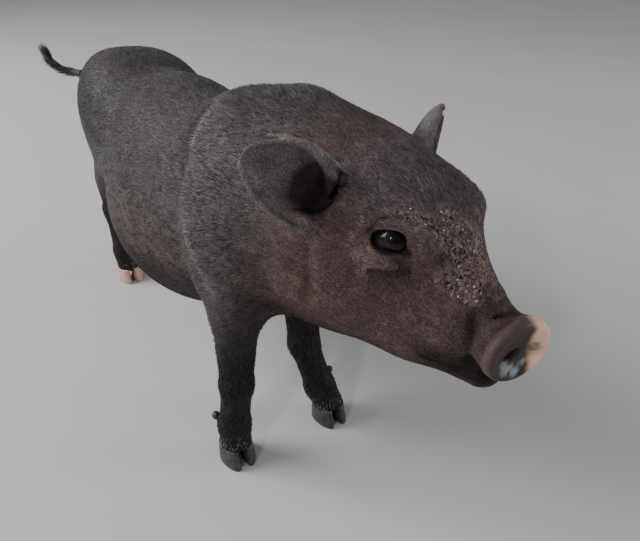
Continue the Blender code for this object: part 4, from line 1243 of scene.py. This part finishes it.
class Hide:
    """The skin's triangles, for taking roots from."""

    def __init__(self, skin):
        mesh = skin.data
        mesh.calc_loop_triangles()
        tris = np.empty(len(mesh.loop_triangles) * 3, np.int32)
        mesh.loop_triangles.foreach_get("vertices", tris)
        self.tris = tris.reshape(-1, 3)
        self.points = points_of(skin)
        self.normals = vectors_of(skin, "normal")
        corners = self.points[self.tris]
        cross = np.cross(corners[:, 1] - corners[:, 0], corners[:, 2] - corners[:, 0])
        self.areas = np.linalg.norm(cross, axis=1) / 2
        self.middles = corners.mean(1)

    def roots(self, density, dice):
        """Points and normals spread over the hide, so many per square metre."""
        expected = self.areas * density
        number = np.floor(expected + dice.random(len(expected))).astype(int)
        which = np.repeat(np.arange(len(number)), number)
        a, b = dice.random(len(which)), dice.random(len(which))
        fold = a + b > 1
        a, b = np.where(fold, 1 - a, a), np.where(fold, 1 - b, b)
        weights = np.stack([1 - a - b, a, b], 1)[:, :, None]
        tri = self.tris[which]
        point = (self.points[tri] * weights).sum(1)
        normal = unit((self.normals[tri] * weights).sum(1) + 1e-9)
        return point, normal


def bare_at(p):
    """0 where no bristle grows: nose disc, between the lids, the ears' hollows, soles."""
    q = to_head(p)
    keep = 1 - ramp(disc_frame(q)[:, 0], -0.0046, -0.0024)
    for s in (-1, 1):
        local = eye_local(q, s)
        keep = keep * np.where(local[:, 2] > 0.002, ramp(eye_opening(local), 1.12, 1.35), 1.0)
    for name in EARS:
        middle, turned = hollow_of(name)
        keep = keep * ramp(np.linalg.norm((q - middle) @ turned / np.array(EAR_HOLLOW), axis=1), 1.0, 1.3)
    return keep * (p[:, 2] > HOOF_HEIGHT + 0.0005)


def ear_part(p):
    """1 on the ears, 0 off them."""
    q = to_head(p)
    part = np.zeros(len(p))
    for name in EARS:
        local = (q - np.array(EARS[name][0])) @ ear_frame(name)
        near = (np.abs(local[:, 1]) < 0.022) * (np.abs(local[:, 2] + 0.004) < 0.018)
        part = np.maximum(part, ramp(local[:, 0], -0.004, 0.004) * near)
    return part


def coat(hide, dice):
    """All the bristles, in pieces of under 200,000 triangles."""
    middles = hide.middles
    q = to_head(middles)
    face = ramp(q[:, 0], -0.065, -0.030) * ramp(middles[:, 2], 0.09, 0.12)
    leg = 1 - ramp(middles[:, 2], 0.06, 0.10)
    density = BODY_DENSITY * (1 - face) + FACE_DENSITY * face
    density = density * (1 + 0.35 * leg) * (1 - 0.9 * ramp(scab_at(middles), 0.15, 0.65)) * bare_at(middles)
    point, normal = hide.roots(density, dice)
    q = to_head(point)
    face = ramp(q[:, 0], -0.065, -0.020) * ramp(point[:, 2], 0.09, 0.12)
    dotted = (1 - ramp(point[:, 2], 0.150, 0.200)) * (1 - ramp(point[:, 0], 0.080, 0.115)) * (1 - face)
    dotted = np.clip(dotted + face, 0, 1)
    brow = blob(q, (0.008, 0.0, 0.024), (0.026, 0.026, 0.014))
    snouty = ramp(q[:, 0], 0.0, 0.045)
    leg = 1 - ramp(point[:, 2], 0.05, 0.10)
    crest = blob(point, (0.120, 0.010, 0.240), (0.060, 0.014, 0.022))
    ear = ear_part(point)
    count = len(point)
    random = dice.random((count, 6))
    length = (BODY_HAIR - DOTTED_SHORTER * dotted) * (1 - face) + FACE_HAIR * face
    length = length * (1 - 0.35 * leg) * (1 - 0.40 * snouty) * (1 - 0.55 * ear) * (0.7 + 0.6 * random[:, 0])
    width = (BODY_HAIR_WIDTH * (1 - face) + FACE_HAIR_WIDTH * face) * (0.7 + 0.6 * random[:, 1])
    rise = radians(4) + radians(5.5) * random[:, 2] ** 2 + radians(17) * crest * random[:, 3]
    rise = rise + radians(24) * brow * random[:, 3]
    length = length * (1 + 0.9 * brow)
    width = width * (1 + 0.5 * brow)
    lie = lie_at(point, normal)
    side = np.cross(normal, lie)
    sway = (random[:, 4] - 0.5) * 0.40 + (cloudy(point, 70, 3) - 0.5) * 0.5
    lie = unit(lie + side * sway[:, None])
    tone = tone_at(point)
    # Lighter bristles, and lighter and darker patches and streaks: partly the coat's own mixed hairs, partly
    # painted glints
    streak = noise(point * np.array((0.40, 1.0, 0.9)), 560, 17)
    dots = noise(point, 460, 18) * (1 - face) + noise(point, 820, 19) * face
    clump = streak * (1 - dotted) + dots * dotted
    own = 0.62 - 0.22 * dotted * (1 - face)
    kind = own * random[:, 5] + (1 - own) * clump
    light = ramp(kind, 0.48, 0.66)[:, None]
    shade = 0.48 + 0.44 * random[:, 1]
    patches = ramp(noise(point * np.array((0.7, 1, 1)), 300, 23), 0.30, 0.66)
    grain = dotted * (1 - face) * (patches - 0.5) * 2.0
    grain = grain + (1 - dotted) * (1 - face) * (ramp(streak, 0.3, 0.7) - 0.5) * 0.5
    tone = tone * (1 + grain)[:, None]
    colour = tone * shade[:, None] * (1 - light) + (tone * 1.38 + 0.004) * light
    pale = (dice.random(count) < 0.09 + 0.03 * face)[:, None]
    tip = np.where(pale, tone * 1.8 + 0.060, colour * 1.25)
    coronet = (blob(point[:, 2:], (0.020,), (0.006,)) * (dice.random(count) < 0.30))[:, None]
    colour = colour * (1 - coronet) + np.array(CORONET) * coronet
    tip = tip * (1 - coronet) + np.array(CORONET_TIP) * coronet
    order = np.argsort(point[:, 0], kind="stable")
    part = int(np.ceil(count / BRISTLES_IN_PIECE))
    pieces = []
    for k, chosen in enumerate(np.array_split(order, part)):
        values = [a[chosen] for a in (point, normal, lie, length, width, rise, colour, tip)]
        pieces.append(grow(f"coat_{k + 1:02d}", *values))
    print("COAT", count, "bristles in", part, "pieces")
    return pieces


def crust(hide, dice):
    """The scabs: small uneven plates that stand a little out of the hide."""
    share = scab_at(hide.middles)
    point, normal = hide.roots(CRUST_DENSITY * ramp(share, 0.25, 1.10), dice)
    count = len(point)
    side = unit(np.cross(normal, dice.normal(size=(count, 3))))
    up = np.cross(normal, side)
    size = (0.00020 + 0.00055 * dice.random(count) ** 2)[:, None]
    thick = (0.00006 + 0.00020 * dice.random(count))[:, None]
    long = 1 + 0.8 * dice.random((count, 1))
    lean = (dice.random((count, 2)) - 0.5) * 0.5
    rings = []
    for height, spread in ((-0.00030, 1.0), (1.0, 0.75)):
        for k in range(6):
            a = 2 * pi * k / 6
            reach = size * spread * (0.7 + 0.6 * dice.random((count, 1)))
            lift = height if height < 0 else thick * (0.6 + 0.8 * dice.random((count, 1)))
            across = side * cos(a) * reach * long + up * sin(a) * reach
            rings.append(point + across + normal * (lift + reach * lean[:, :1]))
    rings += [point - normal * 0.0003, point + normal * thick * 1.2]
    points = np.stack(rings, 1).reshape(-1, 3)
    plates = []
    for k in range(6):
        j = (k + 1) % 6
        plates += [(k, j, 6 + j), (k, 6 + j, 6 + k), (j, k, 12), (6 + k, 6 + j, 13)]
    faces = (np.arange(count)[:, None, None] * 14 + np.array(plates)[None]).reshape(-1, 3)
    obj = new_mesh_object("coat_crust", points, faces)
    kind = dice.random(count)[:, None]
    shade = 0.55 + 0.9 * dice.random((count, 1))
    colour = np.where(kind < 0.78, np.array(CRUST), np.where(kind < 0.88, np.array(FLAKE), np.array(DARK)))
    tan = blob(to_head(point), CRUST_TAN_AT, (0.0045,) * 3)
    colour = mixed(colour, TAN, tan, 0.7) * shade
    paint(obj, np.repeat(colour, 14, axis=0))
    turns = [pi * k / 3 for k in range(14)]
    unwrap(obj, point, normal, [0.0015] * 6 + [0.0010] * 6 + [0.0, 0.0], turns, faces)
    print("CRUST", count, "plates")
    return obj


def along_tail(t):
    """Places on the tail's line, for shares of it from 0 to 1."""
    return np.stack([np.interp(t, np.linspace(0, 1, len(TAIL)), each) for each in np.array(TAIL).T], 1)


def tail_radius(t):
    return np.interp(t, np.linspace(0, 1, len(TAIL)), TAIL_RADII)


def tail_hairs(dice):
    """The long hairs of the tail's tuft."""
    count = TUFT_HAIRS
    t = TUFT_FROM + 0.55 * dice.random(count) ** 0.8
    ahead = unit(along_tail(np.minimum(t + 0.06, 1.0)) - along_tail(np.minimum(t, 0.94) - 0.06))
    right = unit(np.cross(ahead, np.array((0, 0.2, 1.0))))
    up = np.cross(right, ahead)
    turn = dice.random(count) * 2 * pi
    out = right * np.cos(turn)[:, None] + up * np.sin(turn)[:, None]
    root = along_tail(t) + out * tail_radius(t)[:, None] * 0.6
    length = 0.010 + 0.007 * dice.random(count) * t
    colour = np.tile(np.array(DARK), (count, 1)) * (0.7 + 0.8 * dice.random(count))[:, None]
    rise = radians(8) + radians(14) * dice.random(count)
    width = np.full(count, TUFT_HAIR_WIDTH)
    return grow("coat_tail_tuft", root, out, ahead, length, width, rise, colour, colour * 1.8 + 0.02)


def ring_faces(rows, sides):
    """Four-sided faces between rings of points that follow each other."""
    faces = []
    for i in range(rows):
        for k in range(sides):
            j = (k + 1) % sides
            faces.append((i * sides + k, i * sides + j, (i + 1) * sides + j, (i + 1) * sides + k))
    return np.array(faces)


def tube_points(points, radii, sides):
    """Points and faces of a tapered tube."""
    rings = []
    for i, (point, radius) in enumerate(zip(points, radii)):
        ahead = unit(points[min(i + 1, len(points) - 1)] - points[max(i - 1, 0)])
        right = unit(np.cross(ahead, (0, 0.2, 1)))
        up = np.cross(right, ahead)
        turns = [2 * pi * k / sides for k in range(sides)]
        rings.append([point + radius * (cos(a) * right + sin(a) * up) for a in turns])
    return np.array(rings).reshape(-1, 3), ring_faces(len(rings) - 1, sides)


def make_tail_end():
    """The thin end of the tail, with its line smoothed."""
    fine = np.linspace(0.40, 1.0, 26)
    points = along_tail(fine)
    for _ in range(2):
        points[1:-1] = (points[:-2] + 2 * points[1:-1] + points[2:]) / 4
    radii = tail_radius(fine) - 0.0006
    radii[-3:] *= (0.95, 0.7, 0.1)
    spots, faces = tube_points(points, radii, 16)
    return new_mesh_object("skin_tail_end", spots, faces)


# Eyes and feet


def make_eye(side):
    """The eyeball, with the clear front bulging a little."""
    gaze = unit((EYE_GAZE[0], side * EYE_GAZE[1], EYE_GAZE[2]))
    level = unit(np.cross((0, 0, 1.0), gaze))
    eye = np.stack([level, np.cross(gaze, level), gaze], 1)
    rings, segments = 40, 48
    points, ring_values = [], []
    for i in range(rings + 1):
        a = pi * i / rings
        bulge = 0.0005 * np.exp(-((a / 0.60) ** 4))
        radius = EYE_RADIUS - 0.0001 + bulge
        for j in range(segments):
            b = 2 * pi * j / segments
            local = radius * np.array((sin(a) * cos(b), sin(a) * sin(b), cos(a)))
            points.append(eye_at(side) + eye @ local)
            ring_values.append(a)
    faces = ring_faces(rings, segments)[:, [0, 3, 2, 1]]
    name = "eye_left_ball" if side > 0 else "eye_right_ball"
    obj = new_mesh_object(name, from_head(np.array(points)), faces)
    keep_values(obj, "ring", "FLOAT", "value", ring_values)
    tidy_mesh(obj)
    return obj


def tidy_mesh(obj):
    """Joins doubled points and makes the faces point outwards."""
    with opened(obj) as bm:
        bmesh.ops.remove_doubles(bm, verts=bm.verts, dist=1e-6)
        bmesh.ops.recalc_face_normals(bm, faces=bm.faces)


def make_claw(name, foot_x, y, s):
    """One half of a hoof, with worn edges and a rounded wall."""
    count, levels = 40, 14
    points = []
    for level in range(levels + 1):
        h = level / levels
        z = (HOOF_HEIGHT + 0.0006) * h
        scale = 0.955 + 0.045 * min(h / 0.10, 1.0) ** 0.5 - 0.125 * max(h - 0.10, 0.0)
        shift = -0.0020 * h
        ripple = 0.00012 * sin(h * 31)
        for i in range(count):
            a = 2 * pi * i / count
            x = 0.5 * CLAW_LENGTH * cos(a)
            across = CLAW_WIDTH * (0.5 - 0.10 * cos(a)) * sin(a)
            if across < 0:
                across *= 0.62
            across += 0.30 * CLAW_WIDTH - 0.05 * CLAW_WIDTH * (1 + cos(a))
            lift = CLEFT / 2 + max(across * scale + 0.0014, 0.0)
            points.append((foot_x + 0.0015 + shift + x * (scale + ripple * 40), y + s * lift, z))
    obj = new_mesh_object(name, points, ring_faces(levels, count))
    with opened(obj) as bm:
        bmesh.ops.remove_doubles(bm, verts=bm.verts, dist=2e-6)
        rims = [e for e in bm.edges if e.is_boundary]
        bmesh.ops.contextual_create(bm, geom=[e for e in rims if e.verts[0].co.z < 0.001])
        bmesh.ops.contextual_create(bm, geom=[e for e in rims if e.verts[0].co.z > 0.001])
        bmesh.ops.recalc_face_normals(bm, faces=bm.faces)
        bmesh.ops.triangulate(bm, faces=[f for f in bm.faces if len(f.verts) > 4])
    return obj


def make_dewclaw(name, x, y, s, t):
    """A small blunt horn behind the fetlock."""
    lean = turn_of(0, 35, s * t * -14)
    rings, segments = 14, 20
    points = []
    for i in range(rings + 1):
        a = pi * i / rings
        for j in range(segments):
            b = 2 * pi * j / segments
            taper = 1.0 - 0.18 * (1 - cos(a))
            local = (0.0036 * sin(a) * cos(b) * taper, 0.0034 * sin(a) * sin(b) * taper, 0.0062 * cos(a))
            points.append(np.array((x - 0.0145, y + s * t * 0.0072, 0.0295)) + lean @ np.array(local))
    faces = ring_faces(rings, segments)[:, [0, 3, 2, 1]]
    obj = new_mesh_object(name, points, faces)
    tidy_mesh(obj)
    return obj


# The whole


def dress(obj, material):
    obj.data.materials.clear()
    obj.data.materials.append(material)


def colour_skin(skin):
    """The hide's colours, with painted shade in the ears' hollows and nostrils, its scabs and wet places,
    and the directions of its grain.
    """
    p = points_of(skin)
    q = to_head(p)
    disc = disc_frame(q)
    tone = tone_at(p)
    for s in (-1, 1):
        local = eye_local(q, s)
        opening = eye_opening(local)
        front = local[:, 2] > 0.002
        tone = mixed(tone, DARK, (1 - ramp(opening, 0.96, 1.10)) * front, 0.9)
        margin = ramp(opening, 1.00, 1.08) * (1 - ramp(opening, 1.12, 1.24)) * front
        tone = mixed(tone, PALE, margin * ramp(local[:, 1], 0.002, 0.005), 0.30)
    # Painted shade in the ears' hollows
    for name in EARS:
        middle, turned = hollow_of(name)
        far = np.linalg.norm((q - middle) @ turned / (np.array(EAR_HOLLOW) * 1.2), axis=1)
        tone = mixed(tone, EAR_SHADE, 1 - ramp(far, 0.80, 1.25), 0.95)
    # Painted shade inside the nostrils
    for s in (-1, 1):
        local = disc - np.array((0.0025, s * NOSTRIL_AT[0], NOSTRIL_AT[1]))
        local = local @ turn_of(0, 0, s * NOSTRIL_ROLL)
        tone = mixed(tone, DARK, blob(local, (0, 0, 0), (0.0040, 0.0050, 0.0026)), 0.95)
    paint(skin, tone)
    keep_values(skin, "scab", "FLOAT", "value", scab_at(p))
    wet = ramp(disc[:, 0], -0.004, -0.001) * (np.abs(disc[:, 1]) < 0.022)
    keep_values(skin, "wet", "FLOAT", "value", wet)
    face = ramp(q[:, 0], -0.070, -0.030) * ramp(p[:, 2], 0.09, 0.12)
    leg = (1 - ramp(p[:, 2], 0.085, 0.130)) * (1 - face)
    grain = p * np.array((160, 1300, 1100)) * (1 - face - leg)[:, None]
    grain = grain + q * np.array((260, 1700, 1500)) * face[:, None]
    grain = grain + p * np.array((1300, 1300, 160)) * leg[:, None]
    keep_values(skin, "grain", "FLOAT_VECTOR", "vector", grain)


def take_part(obj, material, slot, *nodes):
    """Gives a piece its material, and says which solids it stands for. The slot is not used."""
    dress(obj, material)
    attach(obj, "root")
    if nodes:
        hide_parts(*nodes)


def replace_all(materials):
    """Makes every piece and says which solids each stands for."""
    dice = np.random.default_rng(SEED)
    skin, tail_end = make_skin(), make_tail_end()
    flesh_nodes = ["torso", "neck", "head", "nose", "ear_left", "ear_right"]
    flesh_nodes += [f"leg_{end}_{side}" for end in ("front", "hind") for side in ("left", "right")]
    for piece, nodes in ((skin, flesh_nodes), (tail_end, ["tail"])):
        colour_skin(piece)
        take_part(piece, materials["hide"], "coat", *nodes)
    hide = Hide(skin)
    pieces = coat(hide, dice)
    pieces.append(tail_hairs(dice))
    pieces.append(crust(hide, dice))
    for piece in pieces:
        take_part(piece, materials["bristle"], "coat")
    for side, name in ((-1, "eye_right"), (1, "eye_left")):
        take_part(make_eye(side), materials["eye"], "eye", name)
    for x, track, end, horn in (
        (FRONT_FOOT_X, FRONT_TRACK, "front", "hoof_dark"),
        (HIND_FOOT_X, HIND_TRACK, "hind", "hoof_pink"),
    ):
        for s, side in ((-1, "right"), (1, "left")):
            for t, place in ((-1, "inner"), (1, "outer")):
                tag = f"{end}_{side}_{place}"
                claw = make_claw(f"horn_{tag}", x, s * track, s * t)
                take_part(claw, materials[horn], horn, f"hoof_{tag}")
                spur = make_dewclaw(f"spur_{tag}", x, s * track, s, t)
                take_part(spur, materials[horn], horn, f"dewclaw_{tag}")


def add_light(name, place, size, energy, colour):
    light = bpy.data.lights.new(name, "AREA")
    light.shape = "DISK"
    light.size = size
    light.energy = energy
    light.color = colour
    obj = bpy.data.objects.new(name, light)
    obj.location = Vector(place)
    obj.rotation_euler = (Vector(LIT_PLACE) - obj.location).to_track_quat("-Z", "Y").to_euler()
    bpy.context.scene.collection.objects.link(obj)


def make_stage():
    """Floor and soft light."""
    bm = bmesh.new()
    bmesh.ops.create_grid(bm, x_segments=2, y_segments=2, size=6.0)
    mesh = bpy.data.meshes.new("floor")
    bm.to_mesh(mesh)
    bm.free()
    floor = bpy.data.objects.new("floor", mesh)
    bpy.context.scene.collection.objects.link(floor)
    dress(floor, floor_material())
    world = bpy.data.worlds.new("studio")
    world.use_nodes = True
    background = world.node_tree.nodes["Background"]
    background.inputs["Color"].default_value = (0.93, 0.95, 1.0, 1.0)
    background.inputs["Strength"].default_value = 0.34
    bpy.context.scene.world = world
    for light in LIGHTS:
        add_light(*light)


def make_camera():
    """The photograph's camera, from its place, heading, pitch and roll."""
    heading, pitch, roll = radians(CAMERA_HEADING), radians(CAMERA_PITCH), radians(CAMERA_ROLL)
    ahead = np.array((-cos(heading), sin(heading), 0.0))
    right = np.array((sin(heading), cos(heading), 0.0))
    up = np.array((0.0, 0.0, 1.0))
    view = cos(pitch) * ahead - sin(pitch) * up
    down = -sin(pitch) * ahead - cos(pitch) * up
    x_axis = cos(roll) * right + sin(roll) * down
    y_axis = -(-sin(roll) * right + cos(roll) * down)
    turn = np.stack([x_axis, y_axis, -view], 1)
    camera = bpy.data.cameras.new("camera")
    camera.sensor_fit = "HORIZONTAL"
    camera.sensor_width = SENSOR_WIDTH
    camera.lens = SENSOR_WIDTH * CAMERA_FOCAL / PHOTO_WIDTH
    camera.clip_start = 0.01
    obj = bpy.data.objects.new("camera", camera)
    place = Matrix.Translation(Vector(np.array(CAMERA_AT) - SHIFT))
    obj.matrix_world = place @ Matrix(turn.tolist()).to_4x4()
    bpy.context.scene.collection.objects.link(obj)
    bpy.context.scene.camera = obj


replace_all(
    {
        "hide": hide_material(),
        "bristle": bristle_material(),
        "eye": eye_material(),
        "hoof_dark": horn_material("hoof_dark", (0.016, 0.015, 0.016), (0.060, 0.054, 0.050), 0.40),
        "hoof_pink": horn_material("hoof_pink", (0.36, 0.22, 0.19), (0.52, 0.37, 0.32), 0.42),
    }
)
make_stage()
make_camera()
